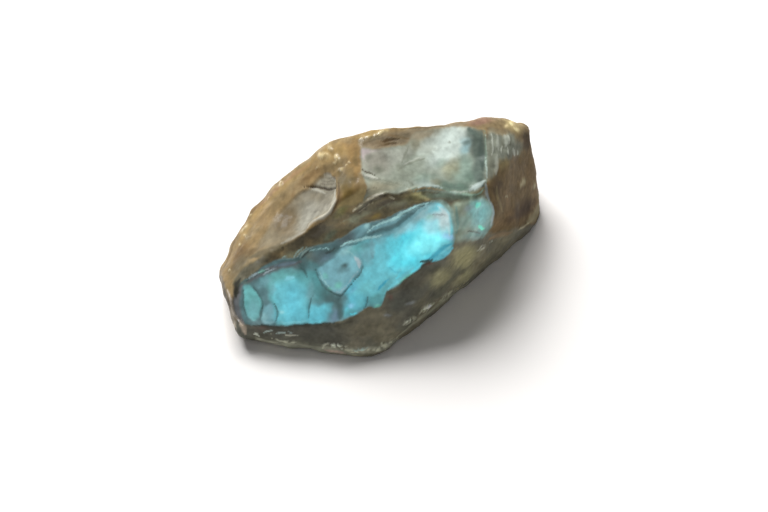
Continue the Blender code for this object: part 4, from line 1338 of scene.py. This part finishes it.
# The tint is divided by the light and the painted glow together.
brightness = surface["light"] + GLOW * surface["flash"]
tint = np.minimum(seen * mottling[:, None] / brightness[:, None], TINT_LIMIT)


def store(name, kind, values):
    """Keeps a value for every point of the skin, for the finish to read."""
    layer = stone_mesh.attributes.new(name, kind, "POINT")
    if kind == "FLOAT":
        layer.data.foreach_set("value", np.ascontiguousarray(values, np.float32))
    else:
        with_alpha = np.ones((count, 4), np.float32)
        with_alpha[:, :3] = values
        layer.data.foreach_set("color", with_alpha.ravel())


store("tint", "FLOAT_COLOR", tint)
for name in ("flash", "gloss", "roughness"):
    store(name, "FLOAT", surface[name])

finish = bpy.data.materials.new("labradorite")
finish.use_nodes = True
nodes = finish.node_tree.nodes
links = finish.node_tree.links
shader = nodes["Principled BSDF"]
where = nodes.new("ShaderNodeTexCoord")


def stored(name):
    """A node that reads one of the skin's kept values."""
    layer = nodes.new("ShaderNodeAttribute")
    layer.attribute_name = name
    return layer


def speckle(size, detail):
    """Noise whose lumps are this many millimetres wide."""
    speck = nodes.new("ShaderNodeTexNoise")
    speck.inputs["Scale"].default_value = 1 / (size * MM)
    speck.inputs["Detail"].default_value = detail
    links.new(where.outputs["Object"], speck.inputs["Vector"])
    return speck


mottle_range = nodes.new("ShaderNodeMapRange")
mottle_range.inputs["From Min"].default_value = 0.3
mottle_range.inputs["From Max"].default_value = 0.7
mottle_range.inputs["To Min"].default_value = 1 - MOTTLE_SPREAD
mottle_range.inputs["To Max"].default_value = 1 + MOTTLE_SPREAD
links.new(speckle(MOTTLE_SIZE, detail=6).outputs["Fac"], mottle_range.inputs["Value"])
mottled = nodes.new("ShaderNodeMix")
mottled.data_type = "RGBA"
mottled.blend_type = "MULTIPLY"
mottled.inputs["Factor"].default_value = 1.0
links.new(stored("tint").outputs["Color"], mottled.inputs["A"])
links.new(mottle_range.outputs["Result"], mottled.inputs["B"])
links.new(mottled.outputs["Result"], shader.inputs["Base Color"])

# The painted flash glows of itself: emission from the mottled colour, as strong as the flash value.
glow = nodes.new("ShaderNodeMix")
glow.data_type = "RGBA"
glow.inputs["A"].default_value = (0, 0, 0, 1)
links.new(stored("flash").outputs["Fac"], glow.inputs["Factor"])
links.new(mottled.outputs["Result"], glow.inputs["B"])
links.new(glow.outputs["Result"], shader.inputs["Emission Color"])
shader.inputs["Emission Strength"].default_value = GLOW

links.new(stored("roughness").outputs["Fac"], shader.inputs["Roughness"])
links.new(stored("gloss").outputs["Fac"], shader.inputs["Coat Weight"])
links.new(stored("gloss").outputs["Fac"], shader.inputs["Specular IOR Level"])
shader.inputs["Coat Roughness"].default_value = COAT_ROUGHNESS

bump = nodes.new("ShaderNodeBump")
bump.inputs["Strength"].default_value = GRAIN_STRENGTH
bump.inputs["Distance"].default_value = GRAIN_HEIGHT
links.new(speckle(GRAIN_SIZE, detail=4).outputs["Fac"], bump.inputs["Height"])
links.new(bump.outputs["Normal"], shader.inputs["Normal"])

stone_mesh.materials.clear()
stone_mesh.materials.append(finish)
stone_mesh.shade_smooth()
stone = bpy.data.objects.new("labradorite_stone", stone_mesh)
bpy.context.scene.collection.objects.link(stone)
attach(stone, "root")
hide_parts("labradorite_chunk")
